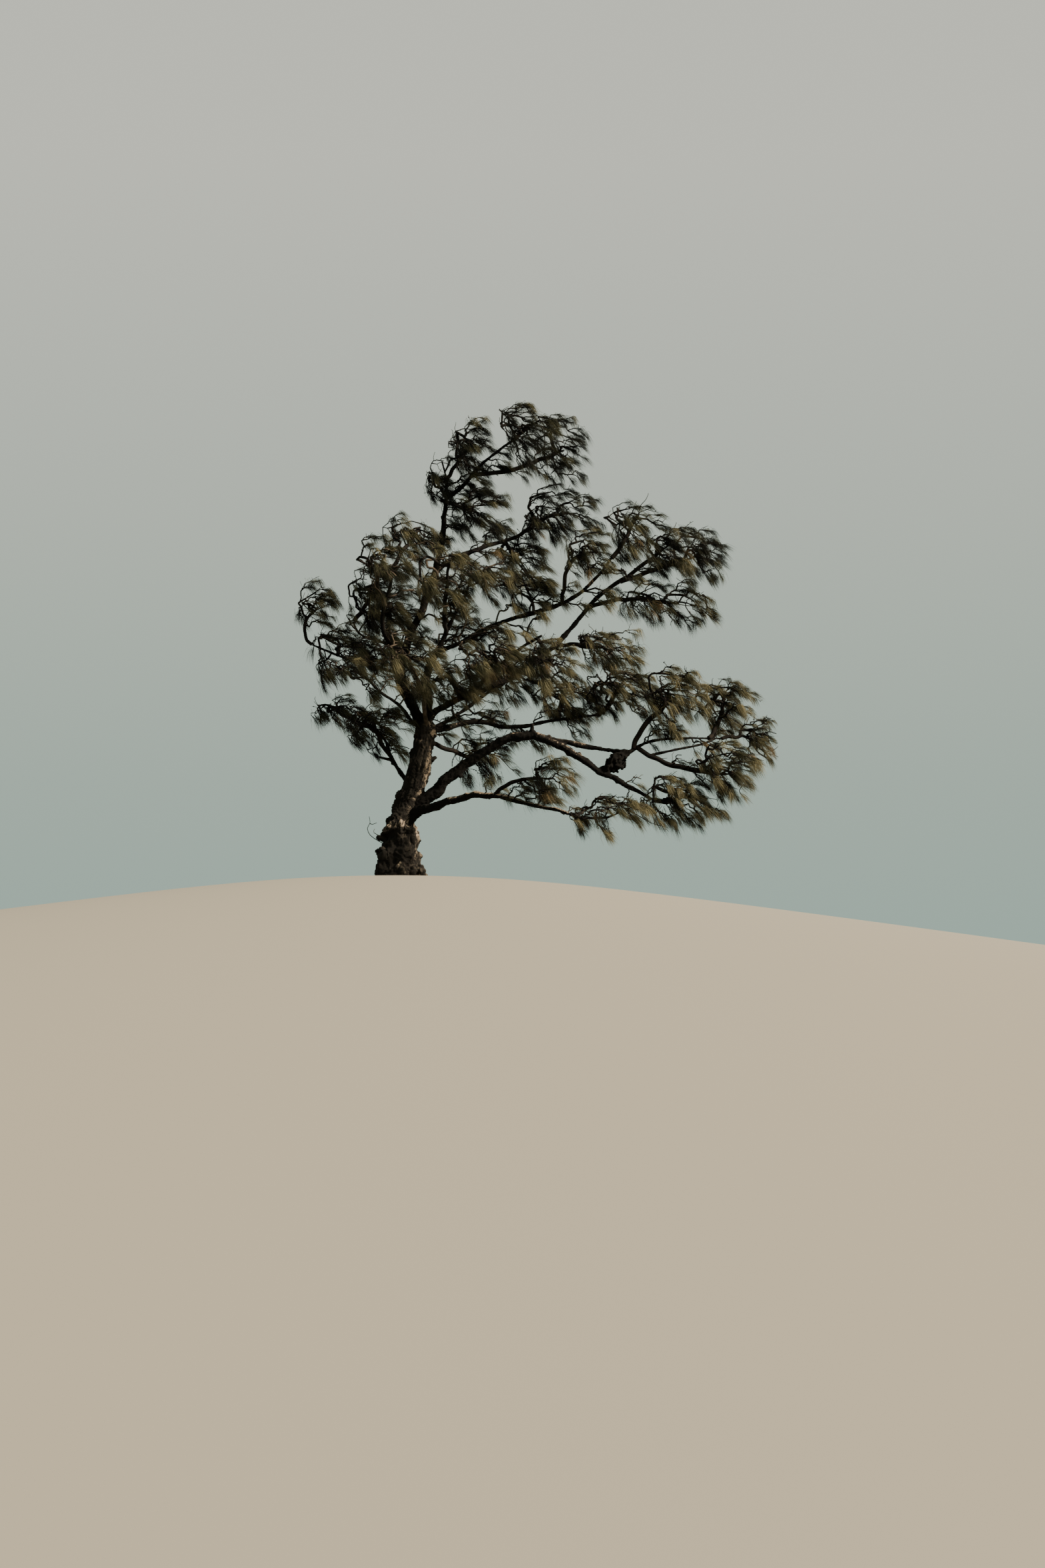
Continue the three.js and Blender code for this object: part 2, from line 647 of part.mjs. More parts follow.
function growMass(space, stem, bars, ownBars, seed) {
  const random = seeded(seed);
  const volume = (space.spread[0] * space.spread[1] * space.spread[2]) / 1e9;
  const count = Math.round(SPRAYS_LEAST + SPRAYS_PER_CUBIC_METRE * volume);
  const spin = random() * 2 * Math.PI;
  const wood = stem.filter((point) => inSpace(space, point) && point.distanceTo(stem[0]) > BARE_ROOT);
  const own = [...ownBars];
  const units = [];
  for (let k = 0; k < count; k += 1) {
    const out = direction(k, count, spin);
    const axis = WIND.clone()
      .addScaledVector(out, OUTWARD)
      .addScaledVector(strayed(random), STRAY)
      .normalize();
    const roll = strayed(random);
    roll.z += STEEPNESS;
    const down = axis.clone().cross(roll).normalize();
    if (down.z > 0) {
      down.negate();
    }
    const frame = { axis, down, side: down.clone().cross(axis) };
    const length = SPRAY_LENGTH * (1 + SPRAY_VARY * (2 * random() - 1));
    const spray = placeSpray(space, bars, own, out, frame, length);
    const root = spray && nearestWood(wood, units, spray);
    if (!root) {
      continue;
    }
    const bend = bendOf(root, spray);
    const tests = [root.clone().lerp(bend, 0.5), bend, bend.clone().lerp(spray.throat, 0.5)];
    if (isClear(bars, tests, LIMB_CLEAR / 2)) {
      units.push({ root, bend, spray });
      const tip = spray.centre.clone().multiplyScalar(2).sub(spray.throat);
      own.push(
        { start: root, end: bend, radius: TWIG_ROOT },
        { start: bend, end: spray.throat, radius: TWIG_ROOT },
        { start: spray.throat, end: tip, radius: SPRAY_CORE },
      );
    }
  }
  return units;
}

// Three points round a twig, level with its spray's left, top and right.
function twigRing(point, line, frame, radius) {
  const side = frame.side.clone().addScaledVector(line, -frame.side.dot(line)).normalize();
  const down = line.clone().cross(side);
  return [
    point.clone().addScaledVector(side, radius),
    point.clone().addScaledVector(down, -radius),
    point.clone().addScaledVector(side, -radius),
  ];
}

// A twig of three sides that widens into its spray.
function unitSolid({ root, bend, spray }) {
  const { frame, throat, outline } = spray;
  const first = bend.clone().sub(root).normalize();
  const middle = throat.clone().sub(root).normalize();
  const rings = [
    ...twigRing(root, first, frame, TWIG_ROOT),
    ...twigRing(bend, middle, frame, (TWIG_ROOT + TWIG_TIP) / 2),
    ...twigRing(throat, frame.axis, frame, TWIG_TIP),
  ];
  const points = [...rings, ...outline, spray.above, spray.below];
  const [left, top, right] = [6, 7, 8];
  const above = points.length - 2;
  const below = points.length - 1;
  const rim = [left, ...outline.map((_, i) => right + 1 + i), right];
  const index = [0, 1, 2, right, top, above, top, left, above, left, right, below];
  for (const row of [0, 3]) {
    for (let k = 0; k < 3; k += 1) {
      const a = row + k;
      const b = row + ((k + 1) % 3);
      index.push(a, a + 3, b + 3, a, b + 3, b);
    }
  }
  for (let i = 0; i + 1 < rim.length; i += 1) {
    index.push(rim[i], rim[i + 1], above, rim[i + 1], rim[i], below);
  }
  return toSolid(closedGeometry(points.flatMap((point) => point.toArray()), index));
}

// A stem's axis, to the middle of its space and on.
function walkStem(start, spec) {
  const path = walk(start, spec);
  const onward = heading(spec.rise[spec.rise.length - 1], spec.away[spec.away.length - 1]);
  const step = (RUN_ON * reachAlong(spec.spread, onward)) / RUN_STEPS;
  for (let i = 0; i < RUN_STEPS; i += 1) {
    path.push(path[STEPS + i].clone().addScaledVector(onward, step));
  }
  return path;
}

function stemSpec(spec) {
  const thick = [STEM_ROOT + (STEM_ROOT_PER_METRE * spec.length) / 1000, STEM_TIP];
  return { ...spec, thick };
}

function lengthOf(path) {
  return path.slice(1).reduce((sum, point, i) => sum + point.distanceTo(path[i]), 0);
}

function stemSkin(path, spec, normal) {
  const count = Math.max(2, Math.round(lengthOf(path) / STEM_SECTION));
  const centres = Array.from({ length: count + 1 }, (_, i) => pointOn(path, i / count));
  return skin(centres, (i) => along(spec.thick, i / count), STEM_SIDES, normal);
}

// The tree, limb by limb. Each piece is cut clear of those before it that it grows out of.
const tree = new THREE.Group();

const trunk = [...KNOBS.map(knob), ...DEAD_TWIGS.map(deadTwig)]
  .reduce((whole, piece) => whole.add(piece), toSolid(trunkSkin(0)));
tree.add(toMesh('trunk', mainPiece(trunk), BARK));

const blockers = [toSolid(trunkSkin(GAP))];
const limbBars = barsOf(trunkPath, (share) => trunkRadius(pointOn(trunkPath, share), 0) * 1.1);

Object.entries(LIMBS).forEach(([name, spec]) => {
  const { start, normal } = startOf(spec);
  paths[name] = walk(start, spec);
  const raw = toSolid(limbSkin(paths[name], spec, 0, normal));
  const cut = blockers.reduce((left, blocker) => left.subtract(blocker), raw);
  tree.add(toMesh(name, mainPiece(cut), BARK));
  blockers.push(toSolid(limbSkin(paths[name], spec, GAP, normal)));
  limbBars.push(...barsOf(paths[name], (share) => limbRadius(spec, share)));
});

const stems = {};
const stemNormals = {};
const stemBars = {};
Object.entries(MASSES).forEach(([name, given]) => {
  const spec = stemSpec(given);
  const { start, normal } = startOf(spec);
  stems[name] = walkStem(start, spec);
  stemNormals[name] = normal;
  stemBars[name] = barsOf(stems[name], (share) => along(spec.thick, share));
});

const spaces = makeSpaces(stems);

Object.entries(MASSES).forEach(([name, given], order) => {
  const spec = stemSpec(given);
  const others = Object.keys(stemBars).filter((other) => other !== name);
  const space = spaces[name];
  const far = Math.max(...space.spread) + FAR_BARS;
  const bars = [...limbBars, ...others.flatMap((other) => stemBars[other])]
    .filter((bar) => offBar(bar, space.centre) < far);
  const raw = toSolid(stemSkin(stems[name], spec, stemNormals[name]));
  const stem = blockers.reduce((left, blocker) => left.subtract(blocker), raw);
  const units = growMass(space, stems[name], bars, stemBars[name], order + 1);
  const mass = units.reduce((whole, unit) => whole.add(unitSolid(unit)), stem);
  tree.add(toMesh(name, mainPiece(mass), NEEDLES));
});

export default tree;
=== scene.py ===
# A windswept casuarina in its looks: furrowed bark on the trunk and boughs, wavy twigs that grow on from
# them, and drooping needles in tufts, combed down the wind.
# The tree's own sizes are in millimetres, as its solids are, and are scaled to metres in the meshes.

import math

import bpy
import numpy as np
from mathutils import Euler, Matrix, Vector, kdtree, noise


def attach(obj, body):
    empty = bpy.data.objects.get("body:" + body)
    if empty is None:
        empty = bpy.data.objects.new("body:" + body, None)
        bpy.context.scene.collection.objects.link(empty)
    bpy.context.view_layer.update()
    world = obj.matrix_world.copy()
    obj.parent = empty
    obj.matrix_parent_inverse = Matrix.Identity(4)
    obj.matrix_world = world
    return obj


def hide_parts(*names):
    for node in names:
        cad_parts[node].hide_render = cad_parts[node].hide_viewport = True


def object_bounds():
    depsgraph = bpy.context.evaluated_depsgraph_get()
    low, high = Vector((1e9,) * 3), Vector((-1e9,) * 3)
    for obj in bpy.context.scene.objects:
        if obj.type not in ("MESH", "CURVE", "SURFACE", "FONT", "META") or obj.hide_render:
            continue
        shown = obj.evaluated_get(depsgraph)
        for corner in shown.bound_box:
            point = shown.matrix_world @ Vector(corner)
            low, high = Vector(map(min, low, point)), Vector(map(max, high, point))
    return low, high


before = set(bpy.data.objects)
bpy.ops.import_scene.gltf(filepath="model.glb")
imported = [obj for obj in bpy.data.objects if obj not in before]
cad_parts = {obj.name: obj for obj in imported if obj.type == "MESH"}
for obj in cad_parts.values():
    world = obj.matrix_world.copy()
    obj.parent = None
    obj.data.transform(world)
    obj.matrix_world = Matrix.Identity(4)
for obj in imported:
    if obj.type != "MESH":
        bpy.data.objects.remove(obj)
cad_low, cad_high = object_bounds()

# Metres in a millimetre and the other way round, the gap past the end of a limb that goes on as another, and
# the steps of a limb.
METRES = 0.001
MILLIMETRES = 1000
GAP = 0.5
STEPS = 60

# Trunk: its walk, its radius, what its foot and burl add to that, and how its top narrows.
TRUNK = {"length": 3800, "rise": [95, 85, 70, 80, 80], "away": [0]}
TRUNK_TOP_RADIUS = 232
TRUNK_BUTT = 62
FLARE_RADIUS = 150
FLARE_HEIGHT = 430
FLARE_LOBES = 5
LOBE_TURN = 0.6
LOBE_DEPTH = 0.13
BURL_RADIUS = 140
BURL_TOP = 1180
BURL_EDGE = 110
KNURLS = 3
KNURL = 0.07
KNURL_RISE = 170
CROWN_TAPER = 260
CROWN_ROUND = 0.75

# Knobs of the burl: height, turn about the trunk in degrees, and size.
KNOBS = [
    (1330, 195, 105), (1540, 172, 80), (1150, 250, 120), (900, 318, 110), (640, 205, 130), (760, 120, 125),
]


def limb(parent, at, length, rise, away, thick, burl=None):
    return {
        "from": parent, "at": at, "length": length, "rise": rise, "away": away, "thick": thick, "burl": burl,
    }


# Limbs. Rise turns in the X-Z plane, from 0 down the wind and 90 straight up; away leans out of that plane.
LIMBS = {
    "leader_main": limb("trunk", 0.95, 6650, [120, 120, 70, 65, 75, 80, 85, 110], [10, -10],
                        [125, 112, 95, 78, 60, 22]),
    "leader_right": limb("trunk", 0.98, 3850, [85, 95, 60, 65, 60, 90], [-20, -10], [105, 90, 46, 28]),
    "bough_arch": limb("trunk", 0.48, 3500, [0, 50, 35, 25, -10], [-10, -15], [150, 126, 106, 102]),
    "bough_reach": limb("bough_arch", 1, 3100, [-20, -35, -30, -30], [-15, -10], [100, 88, 66, 38]),
    "bough_burl": limb("bough_reach", 0.58, 3000, [35, 40, 10, 0, 0], [10, 10], [58, 42, 32, 26],
                       burl=(0.13, 95, 170)),
    "bough_low": limb("trunk", 0.4, 4750, [20, 10, 10, -20, -15, -20], [-35, -35], [112, 94, 74, 56, 36]),
    "bough_level": limb("trunk", 0.92, 4400, [10, 25, -15, 15, 10, 5], [30, 10], [74, 60, 48, 34]),
    "bough_east": limb("trunk", 0.98, 5800, [55, 20, 30, 40, 55, 25], [20, -10], [82, 70, 68, 60, 42]),
    "bough_mid": limb("leader_right", 0.45, 4650, [15, 30, 15, 15, 40, 55], [-10, -10], [64, 60, 52, 32]),
    "bough_crest": limb("leader_main", 0.87, 2050, [20, 55, 35, 35], [-15, -10], [56, 46, 30]),
    "bough_sail": limb("leader_main", 0.6, 2950, [50, 25, 20, 40], [25, 20], [62, 55, 38]),
    "bough_weather": limb("leader_main", 0.25, 2550, [95, 135, 80, 70, 85], [-30, -30], [84, 60, 46, 32]),
    "bough_west": limb("leader_main", 0.28, 1850, [125, 150, 160, 95], [35, 25], [48, 38, 30]),
    "bough_crook": limb("leader_main", 0.22, 2150, [165, 165, 160, 155], [-5, 0], [44, 36, 28]),
    "bough_shoulder": limb("trunk", 0.95, 2400, [165, 125, 155, 130, 215], [-20, -50], [50, 38, 28]),
    "bough_lee": limb("trunk", 0.57, 2200, [130, 120, 110, 140], [15, 50], [62, 48, 34]),
    "bough_apron": limb("bough_east", 0.2, 2900, [30, 40, 20], [-50, -35], [56, 46, 34]),
    "bough_back": limb("trunk", 0.93, 3300, [30, 45, 40], [60, 40], [64, 50, 34]),
}


def mass(parent, at, length, rise, away, spread):
    return {"from": parent, "at": at, "length": length, "rise": rise, "away": away, "spread": spread}


# Masses: the stem as far as the middle of the mass's space, and the half size of that space.
MASSES = {
    "peak_west": mass("leader_main", 0.93, 1000, [65, 50, 35], [-15], [750, 750, 800]),
    "peak_top": mass("bough_crest", 1, 250, [35], [-20], [850, 850, 800]),
    "peak_east": mass("bough_crest", 0.38, 2350, [5, 20, 30], [15], [650, 700, 950]),
    "crown_west": mass("leader_main", 0.87, 450, [135, 110], [10], [400, 600, 650]),
    "upper_east": mass("leader_main", 0.85, 1050, [-20, -35], [-40], [700, 750, 750]),
    "sail_tip": mass("bough_sail", 1, 650, [45, 0], [-10], [1000, 800, 700]),
    "sail_low": mass("bough_sail", 0.67, 850, [-35, -50], [40], [900, 850, 800]),
    "weather_tip": mass("bough_weather", 1, 1050, [65, 55], [25], [750, 750, 650]),
    "weather_low": mass("bough_weather", 0.63, 1300, [125, 95, 55], [-50], [750, 750, 750]),
    "west_tip": mass("bough_west", 1, 700, [50, 60], [-5], [750, 750, 800]),
    "crook_tip": mass("bough_crook", 1, 950, [140, 85, 25], [0], [500, 700, 750]),
    "crook_outer": mass("bough_crook", 0.7, 250, [85], [55], [750, 850, 700]),
    "crook_inner": mass("bough_crook", 0.28, 650, [150], [-80], [600, 650, 700]),
    "front_low": mass("trunk", 0.93, 2550, [80, 105, 125], [-55], [750, 800, 700]),
    "shoulder_tip": mass("bough_shoulder", 1, 250, [150], [-30], [650, 600, 400]),
    "lee_tip": mass("bough_lee", 1, 900, [165, 145], [10], [700, 700, 450]),
    "lee_low": mass("bough_lee", 0.47, 950, [135, 105], [-45], [800, 700, 650]),
    "leader_near": mass("leader_right", 0.57, 1500, [95, 80], [-60, -40], [800, 700, 950]),
    "leader_tip": mass("leader_right", 0.93, 500, [-10, 20], [-20], [800, 750, 700]),
    "mid_low": mass("bough_mid", 0.52, 500, [95, 115], [-20], [800, 700, 500]),
    "mid_near": mass("bough_mid", 0.67, 1500, [90, 75, 0], [-25], [600, 650, 650]),
    "mid_tip": mass("bough_mid", 1, 850, [50, 65], [10], [750, 800, 750]),
    "east_up": mass("bough_east", 0.95, 1650, [30, 35], [-25], [700, 700, 750]),
    "east_tip": mass("bough_east", 1, 2050, [20, 20, 20], [5], [750, 700, 650]),
    "east_spar": mass("bough_east", 0.83, 1900, [25, 5, -5], [15], [1650, 600, 650]),
    "east_crown": mass("bough_east", 0.63, 1700, [-5, -20], [-45], [1050, 750, 600]),
    "apron_mid": mass("bough_apron", 0.48, 1250, [120], [-85], [1000, 800, 700]),
    "apron_tip": mass("bough_apron", 0.95, 1050, [-65], [-40], [850, 800, 700]),
    "level_tip": mass("bough_level", 1, 1000, [35, 60], [-45], [1000, 850, 750]),
    "level_mid": mass("bough_level", 0.78, 900, [85, 70], [45], [900, 750, 750]),
    "burl_near": mass("bough_burl", 0.3, 1450, [80, 45, 40], [-5], [750, 800, 850]),
    "burl_up": mass("bough_burl", 0.9, 1100, [50, 80], [35], [650, 800, 850]),
    "burl_tip": mass("bough_burl", 1, 900, [20, -30], [5], [450, 600, 700]),
    "burl_hook": mass("bough_burl", 0.33, 2300, [-40, -15, -5], [-20], [800, 700, 800]),
    "reach_tip": mass("bough_reach", 1, 700, [-20, 20], [-15], [1150, 750, 650]),
    "low_tip": mass("bough_low", 1, 950, [-25, 20], [0], [1200, 600, 450]),
    "low_mid": mass("bough_low", 0.55, 1450, [50, 10, -10], [-30], [650, 650, 500]),
    "under_arch": mass("trunk", 0.87, 1800, [-10, -20, 10], [35], [900, 700, 650]),
    "east_root": mass("bough_east", 0.18, 650, [120], [-60], [750, 650, 600]),
    "back_tip": mass("bough_back", 1, 500, [40], [40], [1000, 900, 800]),
    "back_west": mass("leader_main", 0.13, 3250, [105, 110, 90], [45], [900, 900, 850]),
}

# Limbs and stems. A limb is wider at its root, over a few times its thickness, and a stem runs on through its
# mass by a share of the way that is left.
COLLAR = 0.28
COLLAR_LENGTH = 3
STEM_ROOT = 19
STEM_ROOT_PER_METRE = 6
STEM_TIP = 13
RUN_ON = 0.62
RUN_STEPS = 20

# Sprays, placed as in the solids: how many and how large, how each is tried further in from the edge of its
# mass until it is clear, and where its twig leaves the wood.
SPRAYS_LEAST = 5
SPRAYS_PER_CUBIC_METRE = 7
TWIG_ROOT = 6
SPRAY_LENGTH = 800
SPRAY_VARY = 0.15
SPRAY_HALF_THICK = 42
SPRAY_DROOP = 0.22
SPRAY_MIDDLE = 0.4
SPRAY_OUTLINE = [
    (0.58, 0.42), (0.66, 0.19), (1, 0.22), (0.78, 0.02), (0.98, -0.17), (0.62, -0.2), (0.62, -0.44),
]
WIND = np.array([0.8, 0, -0.42])
OUTWARD = 0.75
STRAY = 0.5
STEEPNESS = 0.4
TRIES = 13
FIRST_REACH = 0.95
REACH_STEP = 0.06
SHRINK = 0.02
WALL = 5
BAR_STRIDE = 5
FAR_BARS = 500
TRUNK_ROOM = 1.1
LIMB_CLEAR = 34
SPRAY_CLEAR = 20
SPRAY_CORE = 70
SHORTEST_TWIG = 90
BARE_ROOT = 90
ROOT_APART = 70
FIRST_TWIG_POINTS = 6
RIB_RUNS = (0.2, 0.4, 0.6)
LEAST_ONWARD = -0.45
ONWARD_COST = 1.6
TWIG_BEND = 0.55

# Tufts of needles over a spray: their run along it, how far across, above and through it, and their fan.
TUFTS_PER_SPRAY = 5
SPRAY_TUFT_RUN = (0.2, 0.62)
SPRAY_TUFT_ACROSS = 0.56
SPRAY_TUFT_ABOVE = 120
SPRAY_TUFT_DEPTH = 240
SPRAY_TUFT_FAN = 0.9
TUFT_STRAY = 0.5

# Clumps of tufts that fill a mass between its sprays: fewer high up, and fewer still down the wind.
CLUMPS_PER_CUBIC_METRE = 13
CLUMPS_LEAST = 4
HIGH_FROM = 4600
HIGH_SHARE = 0.62
LEE_FROM = 1500
LEE_TOP = 8200
LEE_SHARE = 0.52
CLUMP_TRIES = 400
CLUMP_APART = 330
CLUMP_NEAREST = 0.35
CLUMP_FURTHER = 0.55
TUFTS_PER_CLUMP = 6
CLUMP_SPREAD = np.array([105, 105, 78])
CLUMP_STRAY = 0.6

# A tuft keeps inside its mass, and so does what hangs from it, and it keeps off the limbs.
TUFT_SLACK = 1.02
HANG_SLACK = 1.12
HANG_REACH = 200
TUFT_CLEAR = 10

# Twigs, each from the nearest wood to its tuft: thickness at a tuft and how it adds up towards the foot, lift
# off the wood, bend, waves, and the run that bears needles.
TUFT_TIP_RADIUS = 11
PIPE_POWER = 0.38
TWIG_SHORTEST = 55
TWIG_LIFT = np.array([0.1, 0, 1]) * 0.22
TWIG_STRAY = 0.5
TWIG_START = 0.3
TWIG_END = 0.36
TWIG_END_STRAY = 0.14
TWIG_WAVE = 0.078
TWIG_POINTS = 4
TIP_RUN = 110
TIP_DROOP = 0.35
STOUT_POINTS = 6
STOUT_SIDES = 6
FINE_SIDES = 3
STEM_LEAST = 0.6
BARE_SHARE = 0.12

# What each thing that is strewn starts from: masses and sprigs in their order, then the rest.
MASS_SEED = 1000
SPRIG_SEED = 2000
PALE_SEED = 11
FRUIT_SEED = 5
NEEDLE_SEED = 7
KNOB_SEED = 31

# Needles: how many, their size, where they root along the twig's tip, how they stand out and how they hang.
NEEDLES_PER_TUFT = 68
NEEDLE_LENGTH = (230, 440)
NEEDLE_WIDTH = 6
TUFT_SIZE = (0.85, 0.3)
ROOT_POWER = 0.6
ROOT_BACK = 0.3
NEEDLE_LIFT = 0.4
NEEDLE_SPREAD = (0.2, 0.34)
DROOP = np.array([0.46, 0, -0.89])
TUFT_SWAY = 0.2
NEEDLE_SWAY = 0.08
BEND_SHARE = 0.4
BEND_DROOP = 0.62
HANG_FIRST = 0.18
HANG_SHARE = 0.6
PIECE_TRIANGLES = 190000
SPARE = 0.012

# Tone of a tuft, 0 in deep shade to 4 in the sun: patchy, lighter low down the wind and in front, darker high
# up and behind other tufts. A fade has its start and how much further on it is full.
TONE = 2.2
TONE_PATCHES = 1.6
TONE_PATCH_SCALE = 1.5
TONE_LIT = 0.9
TONE_NEAR = 0.4
TONE_HIGH = 1.0
TONE_STRAY = 0.75
TONE_SHADED = 0.38
LIT_OUT = (500, 4500)
LIT_LOW = (8200, -3000)
NEAR_DEPTH = 1500
HIGH_LEAN = 0.3
HIGH_UP = (7600, 2500)
RUST_SHARE = 0.03
SUNWARD = np.array([0.72, -0.42, 0.55])
SHADE_STEPS = (230, 480)
SHADE_REACH = 170
# Needles rooted below this share of their tuft's run take painted shade, one tint darker.
SHADED_ROOT = 0.5

# A line counts as straight when it bows by less than this, and its tube then starts from a fixed slant.
STRAIGHT = 1e-3
TINY = 1e-9
ASKEW = (0.3, 0.9, 0.2)

# Small crooks of the limbs and stems: how far apart and how far out, and the steps that a bough is shaped in.
BOUGH_STEP = 40
LIMB_CROOK = 340
LIMB_CROOK_SHARE = 0.2
STEM_CROOK = 170
STEM_CROOK_SIZE = 15

# Short side twigs without needles: how many a twig bears on average, their size, and how they stand out.
TWIGLETS = 0.7
TWIGLET_LENGTH = (110, 260)
TWIGLET_RADIUS = 8
TWIGLET_TAPER = 0.7
TWIGLET_AHEAD = 0.6
TWIGLET_LIFT = np.array([0, 0, 0.4])
TWIGLET_BEND = np.array([0.35, 0, 0.2])
TWIGLET_PULL = 0.4
TWIGLET_END_PULL = 0.2
TWIGLET_POINTS = 3

# Twigs in paler colour: many in the sunlit heart of the crown, as painted sunlight, and a few thin ones
# elsewhere, as paler bark.
HEART = np.array([550, -600, 5500])
HEART_REACH = 2500
HEART_PALE = 0.85
ELSEWHERE_PALE = 0.16
ELSEWHERE_THICK = 16
PALE_BELOW = 6500

# Fruit: small woody cones, in ones and twos against the longer twigs.
FRUIT_SHARE = 0.3
FRUIT_LONG = 26
FRUIT_HALF = 15
FRUIT_SIDES = 6
FRUIT_MOST = 2
FRUIT_TWIG_POINTS = 4

# Sprigs that stand along the limbs: how far apart they and their tufts are, and how they stand out. Then for
# each limb its first and last share, and the sprigs' length.
SPRIG_PITCH = 290
SPRIG_TUFT_PITCH = 125
SPRIG_LOOK = 0.02
SPRIG_AHEAD = 0.3
SPRIG_LIFT = np.array([0.1, 0, 0.5])
SPRIG_REACH = (0.55, 0.9)
SPRIG_OUTWARD = 0.7
SPRIG_OUT = 0.6
SPRIG_LEAD = 0.5
SPRIG_PULL = 0.36
SPRIG_END_PULL = 0.3
SPRIG_POINTS = 6
SPRIG_TUFTS_LEAST = 2
SPRIG_TUFTS_FROM = 0.35
SPRIG_TUFT_ASIDE = (50, 120)
SPRIG_TUFT_LEAD = 60
SPRIG_TUFT_FAN = 260
SPRIGS = {
    "trunk": (0.84, 0.99, 420),
    "leader_main": (0.2, 0.97, 640),
    "leader_right": (0.12, 0.98, 950),
    "bough_mid": (0.06, 0.97, 560),
    "bough_east": (0.06, 0.24, 460),
    "bough_level": (0.16, 0.98, 430),
    "bough_burl": (0.3, 0.98, 430),
    "bough_reach": (0.7, 1, 380),
    "bough_low": (0.42, 1, 360),
    "bough_crest": (0.1, 1, 520),
    "bough_sail": (0.1, 1, 600),
    "bough_weather": (0.2, 1, 560),
    "bough_west": (0.2, 1, 480),
    "bough_crook": (0.2, 1, 460),
    "bough_shoulder": (0.25, 1, 400),
    "bough_lee": (0.45, 1, 380),
    "bough_apron": (0.2, 1, 620),
    "bough_back": (0.15, 1, 620),
}
STEM_SPRIGS = (0.35, 1, 340)

# Bark: how finely the bodies are shaped, then furrows and plates along each limb, lumps that swell it with
# grit on them, and patches of wear. A scale gives waves to a metre, across a limb and along it.
TRUNK_VOXEL = 0.018
BOUGH_VOXEL = 0.024
LIMB_SAMPLES = 4 * STEPS
TRUNK_SIDES = 48
TRUNK_ROWS = 120
BOUGH_SIDES = 16
SLIM_SIDES = 14
STUB_SIDES = 10
BALL_STEPS = 3
STUB_POINTS = 6
TRUNK_THICK = 0.2
CORE = 0.3
FURROW_SCALE = (20, 3.2)
PLATE_SCALE = (8, 5)
PATCH_SCALE = (7, 1.5)
RELIEF_TOP = 0.75
FURROW_CUT = 1.7
PLATE_LIFT = 0.4
RELIEF_LEVEL = 0.6
RELIEF_LEAST = 0.004
FURROW_SHARE = 0.16
FURROW_DEEPEST = 0.042
LUMP_SCALE = 4.2
GRIT = 0.36
GRIT_SCALE = 15
LUMP_SHARE = 0.3
LUMP_DEEPEST = 0.1
GROUND_FADE = (0.004, 0.03)

# The foot has shallower furrows and larger lumps, and the trunk over it is a little fuller, in metres.
FOOT_FADE = (1.2, -0.15)
FOOT_SHALLOWER = 0.5
FOOT_SMOOTHER = 0.35
FOOT_LUMPIER = 0.3
TRUNK_FULLER = 0.045
FULLER_FADE = (2.9, -0.9)

# Painted sunlight on the bark's sunny side: the side that it is on, how sharply it starts, and how patchy it
# is.
SUNLIT_SIDE = np.array([0.74, -0.42, 0.52])
SUNLIT_GAIN = 1.6
SUNLIT_START = 0.35
SUNLIT_LEVEL = 0.75
SUNLIT_PATCHES = 1.3

# Knobs: how deep and how full they sit, and the buds on them.
KNOB_SINK = 0.45
KNOB_FULL = 0.85
KNOB_BUDS = 14
BUD_SINK = 0.3
BUD_OUT = 0.8
BUD_SIZE = (0.25, 0.3)

# Gnarls of the swollen foot: over all of it, then a column of them at its front right.
GNARLS = 40
GNARL_HEIGHT = (100, 940)
GNARL_SIZE = (60, 120)
GNARL_SINK = 0.76
COLUMN_GNARLS = 10
COLUMN_TURN = (292, 318)
COLUMN_HEIGHT = (70, 560)
COLUMN_SIZE = (60, 88)
COLUMN_SINK = 0.3

# The ledge around the top of the foot, from the left over the front to the right, the gnarls on it, and its
# pale top, where sunlight is painted on.
LEDGE_POINTS = 30
LEDGE_TURN = (165, 345)
LEDGE_HEIGHT = [960, 1020, 1110, 1190, 1190, 1130, 1080]
LEDGE_OUT = [-50, 5, 50, 75, 70, 25, -50]
LEDGE_SIZE = [55, 78, 92, 95, 88, 72, 50]
RIM_GNARLS = 22
RIM_STRAY = 34
RIM_SIZE = (50, 82)
LEDGE_REACH = 0.15
LEDGE_TOP = (1.5, 0.35)
LEDGE_LIT = (0.85, 0.5)
LEDGE_PALE = 0.9

# Broken stubs on the trunk, each sunk into it and tapered: height, turn in degrees, length past the bark,
# thickness and rise.
STUB_SINK = 120
STUB_TAPER = (1.25, 1, 0.85)
STUBS = [(3060, 262, 90, 62, 25), (2680, 352, 190, 58, 30), (3200, 345, 130, 60, 40)]

# Knobs on the boughs, each sunk by a share of its size: limb, share, lean away, rise, size.
BOUGH_KNOB_SINK = 0.25
BOUGH_KNOBS = [
    ("bough_reach", 0.1, 0, 80, 62),
    ("bough_reach", 0.2, -20, 50, 58),
    ("bough_reach", 0.27, 10, -100, 55),
    ("bough_reach", 0.36, 0, 70, 60),
    ("bough_reach", 0.46, -30, -80, 50),
    ("bough_reach", 0.56, 0, 60, 62),
    ("bough_reach", 0.7, -20, -90, 44),
    ("bough_arch", 0.86, 0, -60, 68),
    ("bough_arch", 0.93, -30, 70, 60),
    ("bough_lee", 0.4, 0, -120, 52),
    ("bough_low", 0.38, -30, 80, 54),
    ("bough_low", 0.52, 0, -90, 46),
    ("bough_low", 0.66, 0, 90, 44),
    ("bough_level", 0.3, 0, 90, 50),
    ("bough_east", 0.36, 0, 120, 56),
    ("bough_east", 0.42, 0, -60, 46),
]
